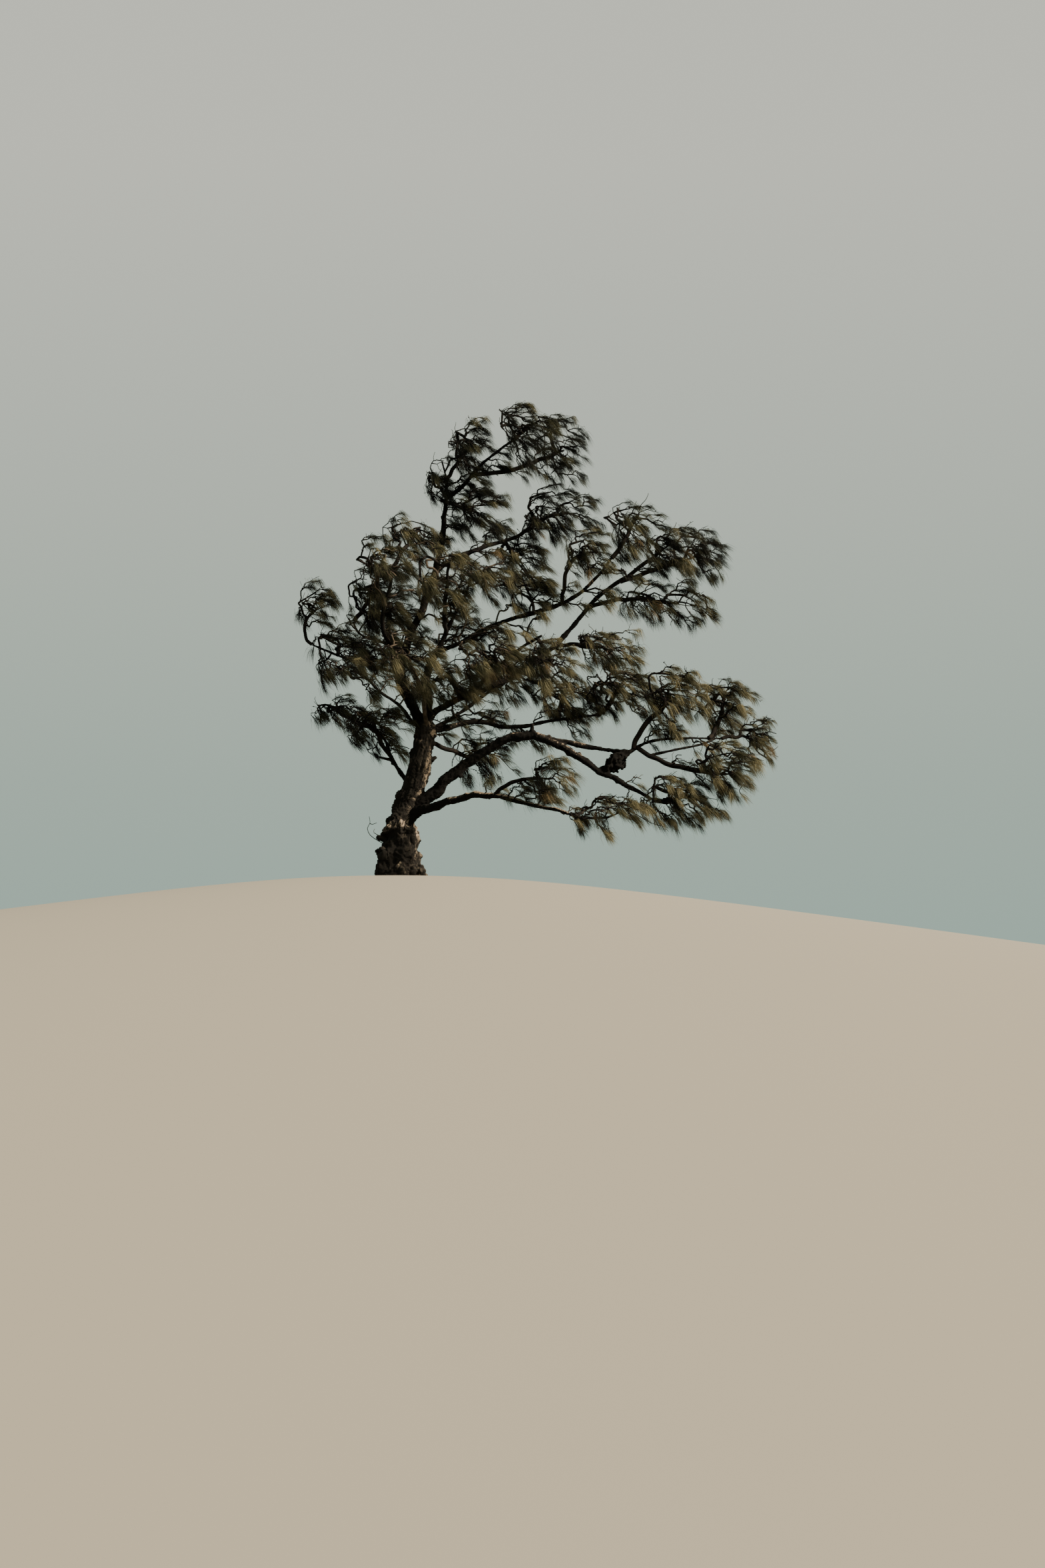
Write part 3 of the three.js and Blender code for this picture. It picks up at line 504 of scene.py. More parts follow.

# Boughs whose upper side is pale with painted sunlight: first and last share, and how pale. Then the lit
# side, how sharply the painted light starts there, and how patchy it is.
PALE_TOPS = [("bough_low", 0.28, 1, 2.2), ("bough_arch", 0.78, 1, 1.25), ("bough_reach", 0, 0.42, 1.1)]
TOP_SIDE = np.array([0.25, -0.62, 0.74])
TOP_GAIN = 2.2
TOP_START = 0.8
TOP_LEVEL = 0.75
TOP_PATCHES = 1.6
TOP_MOST = 1.2

# Lumps of the burl on its bough: how many, how far out, how large and where. The burl is rough and dark.
BURL_LUMPS = 80
BURL_LUMP_OUT = 185
BURL_LUMP_SIZE = (26, 66)
BURL_LUMP_SPAN = (0.055, 0.15)
BURL_LUMP_NEAR = 260
BURL_REACH = 0.27
BURL_ROUGH = 0.12
BURL_DARK = 0.85
BURL_SCALE = 14

# Limbs that join two others: both ends, thickness and how far the middle sags.
LINK_BEND = 0.3
LINK_CROOK = 10
LINK_POINTS = 40
LINKS = [
    (("bough_arch", 0.93), ("bough_burl", 0.27), [78, 64, 60, 58], (0, -60, -70)),
    (("burl_hook", 0.12), ("bough_burl", 0.95), [36, 33, 30, 26], (0, -70, -110)),
]

# Shoulders, by which a bough runs down into the trunk: height, turn and depth in the trunk, then where on
# the bough, and thickness.
SHOULDERS = [
    ((1130, 322, -80), ("bough_low", 0.15), [55, 92, 110, 92]),
    ((1480, 345, -90), ("bough_arch", 0.2), [60, 110, 132, 112]),
]
SHOULDER_LOOK = 0.05
SHOULDER_POINTS = 24
SHOULDER_RISE = 330
SHOULDER_REACH = 260

# Stubs and snags on the boughs: limb, share, rise, away, length, thickness.
BOUGH_STUBS = [
    ("bough_arch", 0.97, [95, 80], [-10], 270, [52, 44, 36]),
    ("bough_arch", 0.42, [-75], [-10], 210, [50, 40]),
    ("bough_level", 0.42, [110, 95], [-10], 190, [44, 34]),
    ("bough_lee", 0.42, [175, 160], [-10], 330, [34, 26]),
]

# Thin bare twigs: limb or mass, share, rise, away, length, thickness.
BARE_TWIG_STRIDE = 5
BARE_TWIGS = [
    ("bough_mid", 0.62, [95, 75, 100], [-10], 520, [16, 6]),
    ("bough_east", 0.4, [10, -15, 30], [-20], 420, [18, 7]),
    ("bough_lee", 0.45, [185, 165, 190], [-10], 420, [20, 8]),
    ("mid_tip", 0.85, [30, 95, 40, 80], [-15], 760, [16, 6]),
    ("mid_tip", 0.9, [80, 10, 55], [-10], 520, [14, 6]),
    ("burl_tip", 0.7, [-35, -70, 10, 50], [-25], 680, [15, 6]),
    ("burl_tip", 0.85, [-10, -60, -20], [10], 450, [13, 6]),
    ("low_tip", 0.9, [-20, -35, -10], [-10], 900, [14, 5]),
    ("reach_tip", 0.8, [-15, 5, -20], [5], 700, [14, 6]),
    ("lee_tip", 0.8, [215, 235, 220], [-20], 520, [12, 5]),
    ("crook_tip", 0.5, [120, 95, 70], [25], 800, [13, 5]),
]

# Dead twigs at the left of the foot, and their first and last thickness.
FOOT_TWIGS = [
    [(-330, -90, 840), (-500, -130, 925), (-680, -150, 1050), (-745, -160, 1205), (-690, -165, 1316),
     (-690, -170, 1400), (-705, -175, 1480)],
    [(-690, -165, 1316), (-620, -170, 1300), (-530, -175, 1335)],
    [(-400, -200, 1000), (-590, -235, 1100), (-575, -240, 1190)],
]
FOOT_TWIG_THICK = (11, 6)


def unit(vector):
    return vector / np.linalg.norm(vector)


def units(vectors):
    return vectors / np.maximum(np.linalg.norm(vectors, axis=-1, keepdims=True), TINY)


# A share that starts at one value and is full a span after it. A span below 0 runs downwards.
def fade(values, start, span):
    return np.clip((values - start) / span, 0, 1)


def noise_of(places):
    return np.array([noise.noise(Vector(place)) for place in places])


def tree_of(places):
    tree = kdtree.KDTree(len(places))
    for i, place in enumerate(places):
        tree.insert(place, i)
    tree.balance()
    return tree


# Seeded random numbers from 0 to 1, the same as for the solids.
def seeded(seed):
    state = seed & 0xFFFFFFFF

    def draw():
        nonlocal state
        state = (state + 0x6D2B79F5) & 0xFFFFFFFF
        t = ((state ^ (state >> 15)) * (state | 1)) & 0xFFFFFFFF
        t = ((t + (((t ^ (t >> 7)) * (t | 61)) & 0xFFFFFFFF)) & 0xFFFFFFFF) ^ t
        return ((t ^ (t >> 14)) & 0xFFFFFFFF) / 4294967296

    return draw


def along(values, share):
    return np.interp(share, np.linspace(0, 1, len(values)), values)


# Values spread evenly over the points of a line.
def over(line, values):
    return along(values, np.linspace(0, 1, len(line)))


# The part of a vector that stands across a heading, as a heading.
def across_from(vector, ahead):
    return unit(vector - ahead * (vector @ ahead))


def heading(rise, away):
    rise, away = np.radians(rise), np.radians(away)
    level = np.cos(away)
    return np.stack([np.cos(rise) * level, np.sin(away), np.sin(rise) * level], axis=-1)


def walk(start, spec):
    share = (np.arange(STEPS) + 0.5) / STEPS
    steps = heading(along(spec["rise"], share), along(spec["away"], share)) * spec["length"] / STEPS
    return np.vstack([start, start + np.cumsum(steps, axis=0)])


def point_on(path, share):
    place = np.clip(share, 0, 1) * (len(path) - 1)
    low = np.minimum(np.floor(place).astype(int), len(path) - 2)
    rest = (place - low)[..., None] if np.ndim(place) else place - low
    return path[low] + (path[low + 1] - path[low]) * rest


# Trunk and limbs, walked as in the solids.
paths = {"trunk": walk(np.zeros(3), TRUNK)}


def trunk_radius(height, turn):
    butt = TRUNK_BUTT * (1 - height / paths["trunk"][-1][2])
    flare = FLARE_RADIUS * np.exp(-((height / FLARE_HEIGHT) ** 2))
    burl = BURL_RADIUS / (1 + np.exp((height - BURL_TOP) / (BURL_EDGE / 2)))
    lobes = 1 + LOBE_DEPTH * np.cos(FLARE_LOBES * turn + LOBE_TURN) * np.exp(-height / FLARE_HEIGHT)
    knurls = 1 + KNURL * np.sin(KNURLS * turn + height / KNURL_RISE) * (burl / BURL_RADIUS)
    return (TRUNK_TOP_RADIUS + butt + flare + burl) * lobes * knurls


def limb_radius(spec, share):
    distance = share * spec["length"]
    collar = 1 + COLLAR * np.exp(-distance / (COLLAR_LENGTH * spec["thick"][0])) if spec["at"] < 1 else 1
    burl = 0
    if spec["burl"]:
        at, size, reach = spec["burl"]
        burl = size * np.exp(-(((share - at) * spec["length"] / reach) ** 2))
    return along(spec["thick"], share) * collar + burl


def start_of(spec):
    parent = paths[spec["from"]]
    start = point_on(parent, spec["at"])
    return start if spec["at"] < 1 else start + GAP * unit(parent[-1] - parent[-2])


for name, spec in LIMBS.items():
    paths[name] = walk(start_of(spec), spec)


def reach_along(spread, line):
    return 1 / math.hypot(*(line / np.array(spread)))


def walk_stem(spec):
    path = walk(start_of(spec), spec)
    onward = heading(spec["rise"][-1], spec["away"][-1])
    step = RUN_ON * reach_along(spec["spread"], onward) / RUN_STEPS
    return np.vstack([path, path[-1] + onward * step * np.arange(1, RUN_STEPS + 1)[:, None]])


stems = {name: walk_stem(spec) for name, spec in MASSES.items()}


def make_spaces():
    spaces = {
        name: {"centre": stems[name][STEPS], "spread": np.array(spec["spread"], float), "walls": []}
        for name, spec in MASSES.items()
    }
    names = list(MASSES)
    for i, name in enumerate(names):
        for other in names[i + 1:]:
            one, two = spaces[name], spaces[other]
            line = two["centre"] - one["centre"]
            distance = np.linalg.norm(line)
            if distance > one["spread"].max() + two["spread"].max():
                continue
            line = line / distance
            reach_one = reach_along(one["spread"], line)
            share = reach_one / (reach_one + reach_along(two["spread"], line))
            limit = one["centre"] @ line + distance * share
            one["walls"].append((line, limit - WALL))
            two["walls"].append((-line, -limit - WALL))
    return spaces


def in_space(space, points, slack=1.0):
    points = np.atleast_2d(points)
    inside = np.linalg.norm((points - space["centre"]) / space["spread"], axis=1) <= slack
    for out, limit in space["walls"]:
        inside &= points @ out <= limit
    return inside


def bars_of(path, radius_at):
    last = len(path) - 1
    first = np.arange(0, last, BAR_STRIDE)
    radius = np.maximum(radius_at(first / last), radius_at((first + BAR_STRIDE) / last))
    return path[first], path[first + BAR_STRIDE], radius


def off_bars(bars, points):
    start, end, radius = bars
    line = end - start
    share = np.einsum("pbk,bk->pb", points[:, None] - start, line) / (line ** 2).sum(1)
    nearest = start + np.clip(share, 0, 1)[..., None] * line
    return np.linalg.norm(nearest - points[:, None], axis=2) - radius


def is_clear(bars, points, gap):
    return bool((off_bars(bars, np.asarray(points)) > gap).all())


def join_bars(*groups):
    return tuple(np.concatenate(parts) for parts in zip(*groups))


def direction(k, count, spin):
    level = 1 - (2 * k + 1) / count
    turn = k * math.pi * (3 - math.sqrt(5)) + spin
    ring = math.sqrt(1 - level * level)
    return np.array([math.cos(turn) * ring, math.sin(turn) * ring, level])


def strayed(random):
    return np.array([random() - 0.5, random() - 0.5, random() - 0.5])


def spray_at(middle, axes, length):
    axis, side, down = axes

    def corner(run, across):
        droop = down * SPRAY_DROOP * run * run * length
        return middle + axis * (run - SPRAY_MIDDLE) * length + side * across * length + droop

    outline = np.array([corner(run, across) for run, across in SPRAY_OUTLINE])
    centre, throat = corner(SPRAY_MIDDLE, 0), corner(0, 0)
    rim = np.vstack([throat, outline])
    edges = (rim + np.roll(rim, -1, axis=0)) / 2
    inner = (np.vstack([rim, edges]) + centre) / 2
    ends = np.array([centre - down * SPRAY_HALF_THICK, centre + down * SPRAY_HALF_THICK])
    return {
        "centre": centre, "throat": throat, "axes": axes, "corner": corner,
        "tests": np.vstack([rim, edges, inner, ends]),
    }


def place_spray(space, bars, own, out, axes, length):
    for i in range(TRIES):
        middle = space["centre"] + out * space["spread"] * (FIRST_REACH - REACH_STEP * i)
        spray = spray_at(middle, axes, length * (1 - SHRINK * i))
        tests = spray["tests"]
        if not in_space(space, tests).all():
            continue
        if is_clear(bars, tests, LIMB_CLEAR) and is_clear(own, tests, SPRAY_CLEAR):
            return spray
    return None


# The wood point that a twig leaves from: the nearest that doesn't lie down the wind of it.
def nearest_wood(wood, throat, axis, shortest):
    line = throat - wood
    length = np.linalg.norm(line, axis=1)
    onward = line @ axis / np.maximum(length, 1)
    cost = length * (ONWARD_COST - onward)
    cost[(length <= shortest) | (onward <= LEAST_ONWARD)] = np.inf
    best = int(np.argmin(cost))
    return best if np.isfinite(cost[best]) else None


# The first twigs and sprays of one mass, as in the solids.
def first_units(space, stem, bars, own_bars, seed):
    random = seeded(seed)
    volume = np.prod(space["spread"]) / MILLIMETRES ** 3
    count = round(SPRAYS_LEAST + SPRAYS_PER_CUBIC_METRE * volume)
    spin = random() * 2 * math.pi
    wood = stem[in_space(space, stem) & (np.linalg.norm(stem - stem[0], axis=1) > BARE_ROOT)]
    own = own_bars
    found = []
    for k in range(count):
        out = direction(k, count, spin)
        axis = unit(WIND + out * OUTWARD + strayed(random) * STRAY)
        roll = strayed(random)
        roll[2] += STEEPNESS
        down = unit(np.cross(axis, roll))
        if down[2] > 0:
            down = -down
        axes = (axis, np.cross(down, axis), down)
        length = SPRAY_LENGTH * (1 + SPRAY_VARY * (2 * random() - 1))
        spray = place_spray(space, bars, own, out, axes, length)
        if spray is None:
            continue
        free = wood
        for other in found:
            free = free[np.linalg.norm(free - other["root"], axis=1) > ROOT_APART]
        best = nearest_wood(free, spray["throat"], axis, SHORTEST_TWIG) if len(free) else None
        if best is None:
            continue
        root, throat = free[best], spray["throat"]
        pull = throat - axis * TWIG_BEND * np.linalg.norm(root - throat)
        bend = (root + throat) / 4 + pull / 2
        if is_clear(bars, [(root + bend) / 2, bend, (bend + throat) / 2], LIMB_CLEAR / 2):
            found.append({"root": root, "bend": bend, "spray": spray})
            tip = 2 * spray["centre"] - throat
            own = join_bars(own, (
                np.array([root, bend, throat]),
                np.array([bend, throat, tip]),
                np.array([TWIG_ROOT, TWIG_ROOT, SPRAY_CORE], float),
            ))
    return found


# Room for the nodes of one piece of wood.
WOOD_ROOM = 4096


# Wood that grows node by node, each from one before it. A chain is one twig, from its root on.
class Wood:
    def __init__(self):
        self.places = np.zeros((WOOD_ROOM, 3))
        self.parents = np.full(WOOD_ROOM, -1)
        self.used = 0
        self.chains = []

    def add(self, points, root=None):
        first = self.used
        count = len(points)
        self.places[first:first + count] = points
        self.parents[first:first + count] = np.arange(first - 1, first + count - 1)
        self.parents[first] = -1 if root is None else root
        self.used += count
        chain = list(range(first, first + count))
        self.chains.append(chain if root is None else [root, *chain])
        return chain

    # Radii by how many tips each node bears.
    def radii(self, tips):
        bears = np.zeros(self.used)
        np.add.at(bears, tips, 1)
        for node in range(self.used - 1, -1, -1):
            if self.parents[node] >= 0:
                bears[self.parents[node]] += bears[node]
        return TUFT_TIP_RADIUS * bears ** PIPE_POWER


def curve(start, first, second, end, count):
    t = np.linspace(0, 1, count + 1)[1:, None]
    return (
        start * (1 - t) ** 3 + 3 * first * t * (1 - t) ** 2 + 3 * second * t * t * (1 - t) + end * t ** 3
    )


# Small bends along a twig, none at its end.
def waved(points, rng):
    size = np.linalg.norm(points[-1] - points[0])
    wave = rng.normal(size=points.shape) * TWIG_WAVE * size
    wave[-1] = 0
    return points + wave


# A path with small crooks, none at its start. Sizes may differ along it.
def crooked(path, pitch, size, rng):
    length = np.linalg.norm(np.diff(path, axis=0), axis=1).sum()
    knots = max(2, round(length / pitch))
    bends = rng.normal(size=(knots + 1, 3))
    bends[0] = 0
    place = np.linspace(0, knots, len(path))
    shift = np.stack([np.interp(place, np.arange(knots + 1), bends[:, k]) for k in range(3)], axis=-1)
    return path + shift * np.reshape(size, (-1, 1))


# A line through the same points with its corners rounded.
def rounded(line, thick):
    ends = np.vstack([2 * line[0] - line[1], line, 2 * line[-1] - line[-2]])
    count = len(line)
    full = np.empty((2 * count - 1, 3))
    full[0::2] = line
    full[1::2] = (9 * (ends[1:-2] + ends[2:-1]) - ends[:-3] - ends[3:]) / 16
    return full, np.interp(np.arange(2 * count - 1) / 2, np.arange(count), thick)


# Places and headings for the tufts over one spray.
def spray_tufts(spray, rng):
    axis, side, down = spray["axes"]
    first, span = SPRAY_TUFT_RUN
    tufts = []
    for k in range(TUFTS_PER_SPRAY):
        run = first + span * (k + rng.random()) / TUFTS_PER_SPRAY
        across = (rng.random() - 0.5) * SPRAY_TUFT_ACROSS
        depth = down * (rng.random() - 0.5) * SPRAY_TUFT_DEPTH
        place = spray["corner"](run, across) - DROOP * SPRAY_TUFT_ABOVE + depth
        stray = (rng.random(3) - 0.5) * TUFT_STRAY
        tufts.append((place, unit(axis + side * across * SPRAY_TUFT_FAN + stray)))
    return tufts


# Middles of the clumps between a mass's sprays.
def clump_centres(space, sprays, rng):
    volume = np.prod(space["spread"]) / MILLIMETRES ** 3
    downwind, _, high = space["centre"]
    fullness = HIGH_SHARE if high > HIGH_FROM else 1
    if downwind > LEE_FROM and HIGH_FROM < high < LEE_TOP:
        fullness = LEE_SHARE
    count = round((CLUMPS_LEAST + CLUMPS_PER_CUBIC_METRE * volume) * fullness)
    centres = [spray["centre"] for spray in sprays]
    fresh = []
    for _ in range(CLUMP_TRIES):
        if len(fresh) >= count:
            break
        out = rng.normal(size=3)
        out = unit(out) * (CLUMP_NEAREST + CLUMP_FURTHER * rng.random() ** 0.5)
        place = space["centre"] + out * space["spread"]
        apart = min((np.linalg.norm(place - other) for other in centres + fresh), default=np.inf)
        if apart > CLUMP_APART and in_space(space, place)[0]:
            fresh.append(place)
    return fresh


def clump_tufts(space, centre, rng):
    out = (centre - space["centre"]) / space["spread"]
    lead = unit(WIND + out * OUTWARD + (rng.random(3) - 0.5) * STRAY)
    tufts = []
    for _ in range(TUFTS_PER_CLUMP):
        place = centre + rng.normal(size=3) * CLUMP_SPREAD
        tufts.append((place, unit(lead + (rng.random(3) - 0.5) * CLUMP_STRAY)))
    return tufts


# Grows a twig to each tuft from the nearest wood, nearest to the foot first.
def grow_to(wood, tufts, foot, rng):
    tips = []
    kept = []
    tufts = sorted(tufts, key=lambda tuft: float(np.linalg.norm(tuft[0] - foot)))
    for place, axis in tufts:
        root = nearest_wood(wood.places[:wood.used], place, axis, TWIG_SHORTEST)
        if root is None:
            continue
        start = wood.places[root]
        length = np.linalg.norm(place - start)
        lift = TWIG_LIFT + (rng.random(3) - 0.5) * TWIG_STRAY
        first = start + (unit(place - start) * TWIG_START + lift) * length
        second = place - axis * TWIG_END * length + (rng.random(3) - 0.5) * TWIG_END_STRAY * length
        points = waved(curve(start, first, second, place, TWIG_POINTS), rng)
        end = place + unit(axis + DROOP * TIP_DROOP) * TIP_RUN
        chain = wood.add(np.vstack([points, end]), root)
        tips.append(chain[-1])
        kept.append((place, end, axis))
    return tips, kept


# Sprigs along a limb, as wood, and the tufts that they bear.
def sprigs_on(path, length, first, last, size, rng):
    wood = Wood()
    tufts = []
    count = max(1, round(length * (last - first) / SPRIG_PITCH))
    for k in range(count):
        share = first + (last - first) * (k + rng.random()) / count
        root = point_on(path, share)
        before, after = max(0, share - SPRIG_LOOK), min(1, share + SPRIG_LOOK)
        ahead = unit(point_on(path, after) - point_on(path, before))
        around = across_from(rng.normal(size=3), ahead)
        out = unit(around + ahead * SPRIG_AHEAD + SPRIG_LIFT)
        least, more = SPRIG_REACH
        reach = size * (least + more * rng.random())
        lead = unit(WIND + out * SPRIG_OUTWARD + (rng.random(3) - 0.5) * STRAY)
        end = root + out * SPRIG_OUT * reach + lead * SPRIG_LEAD * reach
        first_pull, last_pull = root + out * SPRIG_PULL * reach, end - lead * SPRIG_END_PULL * reach
        points = waved(curve(root, first_pull, last_pull, end, SPRIG_POINTS), rng)
        wood.add(np.vstack([root, points]))
        for _ in range(max(SPRIG_TUFTS_LEAST, round(reach / SPRIG_TUFT_PITCH))):
            stand = point_on(points, SPRIG_TUFTS_FROM + (1 - SPRIG_TUFTS_FROM) * rng.random())
            least, more = SPRIG_TUFT_ASIDE
            aside = unit(rng.normal(size=3)) * (least + more * rng.random())
            axis = unit(lead + aside / SPRIG_TUFT_FAN + (rng.random(3) - 0.5) * TUFT_STRAY)
            tufts.append((stand + aside + lead * SPRIG_TUFT_LEAD, axis))
    return wood, tufts


# Corners of rings around a line, and then its two ends. The radius is one for a ring or one for each corner.
def ring_corners(line, side, up, radius, sides):
    turns = 2 * np.pi * np.arange(sides)[:, None] / sides
    ring = side[:, None] * np.cos(turns) + up[:, None] * np.sin(turns)
    return np.vstack([(line[:, None] + ring * radius[..., None]).reshape(-1, 3), line[[0, -1]]])


# Faces of such rings, closed by a fan at either end.
def ring_faces(first, count, sides):
    rows = first + sides * np.arange(count - 1)[:, None]
    here, there = np.arange(sides), (np.arange(sides) + 1) % sides
    foot, last = first + sides * count, first + sides * (count - 1)
    return np.concatenate([
        np.stack([rows + here, rows + there, rows + sides + there], -1).reshape(-1, 3),
        np.stack([rows + here, rows + sides + there, rows + sides + here], -1).reshape(-1, 3),
        np.stack([np.full(sides, foot), first + there, first + here], -1),
        np.stack([np.full(sides, foot + 1), last + here, last + there], -1),
    ])


# Tubes along lines of wood, each given with its radii, as one array of corners and one of faces.
def tubes(wood_lines, sides):
    corners, faces = [], []
    first = 0
    for line, radius in wood_lines:
        ahead = units(np.gradient(line, axis=0))
        whole = line[-1] - line[0]
        bent = np.cross(line[len(line) // 2] - line[0], whole)
        if np.linalg.norm(bent) < STRAIGHT * np.linalg.norm(whole) ** 2 + TINY:
            bent = np.cross(whole, ASKEW)
        side = units(bent - ahead * (ahead @ bent)[:, None])
        corners.append(ring_corners(line, side, np.cross(ahead, side), radius[:, None], sides))
        faces.append(ring_faces(first, len(line), sides))
        first += len(corners[-1])
    return np.concatenate(corners), np.concatenate(faces)


def mesh_object(name, corners, faces, material):
    mesh = bpy.data.meshes.new(name)
    mesh.vertices.add(len(corners))
    mesh.vertices.foreach_set("co", (corners * METRES).astype(np.float32).ravel())
    mesh.loops.add(faces.size)
    mesh.loops.foreach_set("vertex_index", faces.astype(np.int32).ravel())
    mesh.polygons.add(len(faces))
    mesh.polygons.foreach_set("loop_start", np.arange(0, faces.size, 3, dtype=np.int32))
    mesh.polygons.foreach_set("loop_total", np.full(len(faces), 3, dtype=np.int32))
    mesh.update(calc_edges=True)
    mesh.shade_smooth()
    mesh.materials.append(material)
    piece = bpy.data.objects.new(name, mesh)
    bpy.context.scene.collection.objects.link(piece)
    return piece


# Needles of all the tufts, each a slim lozenge of two faces, which bows over and hangs down the wind, and how
# far along its tuft each is rooted.
def needle_strips(tufts, rng):
    base, end, axis = (np.array([tuft[k] for tuft in tufts]) for k in range(3))
    count, many = len(tufts), NEEDLES_PER_TUFT
    at = rng.random((count, many, 1)) ** ROOT_POWER
    root = base[:, None] + (end - base)[:, None] * (at * (1 + ROOT_BACK) - ROOT_BACK)
    stray = rng.normal(size=(count, many, 3))
    least, more = NEEDLE_SPREAD
    spread = least + more * rng.random((count, many, 1))
    first = units(units(axis)[:, None] + stray * spread + np.array([0, 0, NEEDLE_LIFT]))
    sway = rng.normal(size=(count, 1, 3)) * TUFT_SWAY + rng.normal(size=(count, many, 3)) * NEEDLE_SWAY
    droop = units(DROOP + sway)
    least, more = TUFT_SIZE
    size = least + more * rng.random((count, 1, 1))
    shortest, longest = NEEDLE_LENGTH
    length = (shortest + (longest - shortest) * rng.random((count, many, 1))) * size
    middle = root + units(first + droop * BEND_DROOP) * length * BEND_SHARE
    tip = middle + units(first * HANG_FIRST + droop) * length * HANG_SHARE
    flat = units(np.cross(tip - root, rng.normal(size=(count, many, 3)))) * (NEEDLE_WIDTH / 2)
    return np.stack([root, middle + flat, middle - flat, tip], axis=2), at[..., 0]


def strip_mesh(strips):
    corners = strips.reshape(-1, 3)
    first = 4 * np.arange(len(strips))[:, None, None]
    return corners, (first + np.array([[0, 1, 2], [2, 1, 3]])).reshape(-1, 3)


# Materials, all with a faint sheen.
SHEEN = 0.08


def new_material(name, roughness):
    material = bpy.data.materials.new(name)
    material.use_nodes = True
    shader = material.node_tree.nodes["Principled BSDF"]
    shader.inputs["Roughness"].default_value = roughness
    shader.inputs["Specular IOR Level"].default_value = SHEEN
    return material, material.node_tree, shader


# Adds a node, links or sets its inputs, and gives its outputs.
def add_node(tree, kind, inputs=None, **settings):
    node = tree.nodes.new(kind)
    for key, value in settings.items():
        setattr(node, key, value)
    for key, value in (inputs or {}).items():
        if isinstance(value, bpy.types.NodeSocket):
            tree.links.new(value, node.inputs[key])
        else:
            node.inputs[key].default_value = value
    return node.outputs


def add_noise(tree, place, scale, detail, roughness):
    inputs = {"Vector": place, "Scale": scale, "Detail": detail, "Roughness": roughness}
    return add_node(tree, "ShaderNodeTexNoise", inputs)["Fac"]


def add_ramp(tree, factor, stops):
    node = tree.nodes.new("ShaderNodeValToRGB")
    elements = node.color_ramp.elements
    while len(elements) < len(stops):
        elements.new(0.5)
    for element, (place, colour) in zip(elements, stops):
        element.position = place
        element.color = (*colour, 1)
    tree.links.new(factor, node.inputs["Fac"])
    return node.outputs["Color"]


# Gives the shader its colour and fine bumps.
def finish_bark(tree, shader, colour, bumps, strength, distance):
    bump = add_node(tree, "ShaderNodeBump", {"Height": bumps, "Strength": strength, "Distance": distance})
    tree.links.new(colour, shader.inputs["Base Color"])
    tree.links.new(bump["Normal"], shader.inputs["Normal"])


def needle_material(name, colour):
    material, _, shader = new_material(name, roughness=0.62)
    shader.inputs["Base Color"].default_value = (*colour, 1)
    return material


# Bark from black in the furrows to pale on ridges and in painted sunlight, by the relief, the painted light
# and a grain.
BARK_STRETCH = (1, 1, 0.35)
RELIEF_WEIGHT = 0.5
GRAIN_WEIGHT = 0.6
BARK_DARKS = [
    (0.36, (0.005, 0.0045, 0.0036)), (0.16, (0.017, 0.0146, 0.0114)), (0.06, (0.052, 0.043, 0.031)),
]
BARK_PALE = (0.165, 0.130, 0.090)


def bark_material(name, painted_light_weight, pale, share, grain_scale):
    material, tree, shader = new_material(name, roughness=0.92)
    place = add_node(tree, "ShaderNodeTexCoord")["Object"]
    place = add_node(tree, "ShaderNodeMapping", {"Vector": place, "Scale": BARK_STRETCH})["Vector"]
    # The relief and the painted sunlight that the mesh keeps, and a grain along the limb.
    relief, painted_light = (
        add_node(tree, "ShaderNodeAttribute", attribute_name=each)["Fac"] for each in ("relief", "painted_light")
    )
    grain = add_noise(tree, place, grain_scale, detail=8, roughness=0.68)
    height = 0
    for value, weight in ((relief, RELIEF_WEIGHT), (painted_light, painted_light_weight), (grain, GRAIN_WEIGHT)):
        inputs = {0: value, 1: weight, 2: height}
        height = add_node(tree, "ShaderNodeMath", inputs, operation="MULTIPLY_ADD")["Value"]
    stops = [(pale - below, tuple(share * base for base in colour)) for below, colour in BARK_DARKS]
    colour = add_ramp(tree, height, [*stops, (pale, BARK_PALE)])
    bumps = add_noise(tree, place, scale=38, detail=6, roughness=0.7)
    finish_bark(tree, shader, colour, bumps, strength=0.6, distance=0.012)
    return material


def twig_material(name, dark, middle, pale):
    material, tree, shader = new_material(name, roughness=0.88)
    place = add_node(tree, "ShaderNodeTexCoord")["Object"]
    grain = add_noise(tree, place, scale=6, detail=4, roughness=0.6)
    colour = add_ramp(tree, grain, [(0.4, dark), (0.65, middle), (0.85, pale)])
    bumps = add_noise(tree, place, scale=60, detail=3, roughness=0.5)
    finish_bark(tree, shader, colour, bumps, strength=0.4, distance=0.004)
    return material


trunk_bark = bark_material("trunk_bark", painted_light_weight=0.42, pale=0.98, share=1.7, grain_scale=9)
bough_bark = bark_material("bough_bark", painted_light_weight=0.3, pale=1, share=0.6, grain_scale=16)
twig_bark = twig_material("twig_bark", (0.004, 0.0035, 0.003), (0.010, 0.008, 0.006), (0.035, 0.027, 0.020))
twig_pale = twig_material("twig_pale", (0.022, 0.018, 0.013), (0.066, 0.052, 0.037), (0.115, 0.092, 0.066))

# Needle colours, from shaded to sunlit, then dead ones.
TINTS = [
    ("shade", (0.0035, 0.004, 0.0025)),
    ("deep", (0.011, 0.0115, 0.006)),
    ("olive", (0.030, 0.030, 0.015)),
    ("brown", (0.062, 0.057, 0.031)),
    ("tan", (0.105, 0.094, 0.050)),
    ("rust", (0.080, 0.060, 0.031)),
]
RUST = len(TINTS) - 1


def trunk_room(share):
    return trunk_radius(point_on(paths["trunk"], share)[:, 2], 0) * TRUNK_ROOM


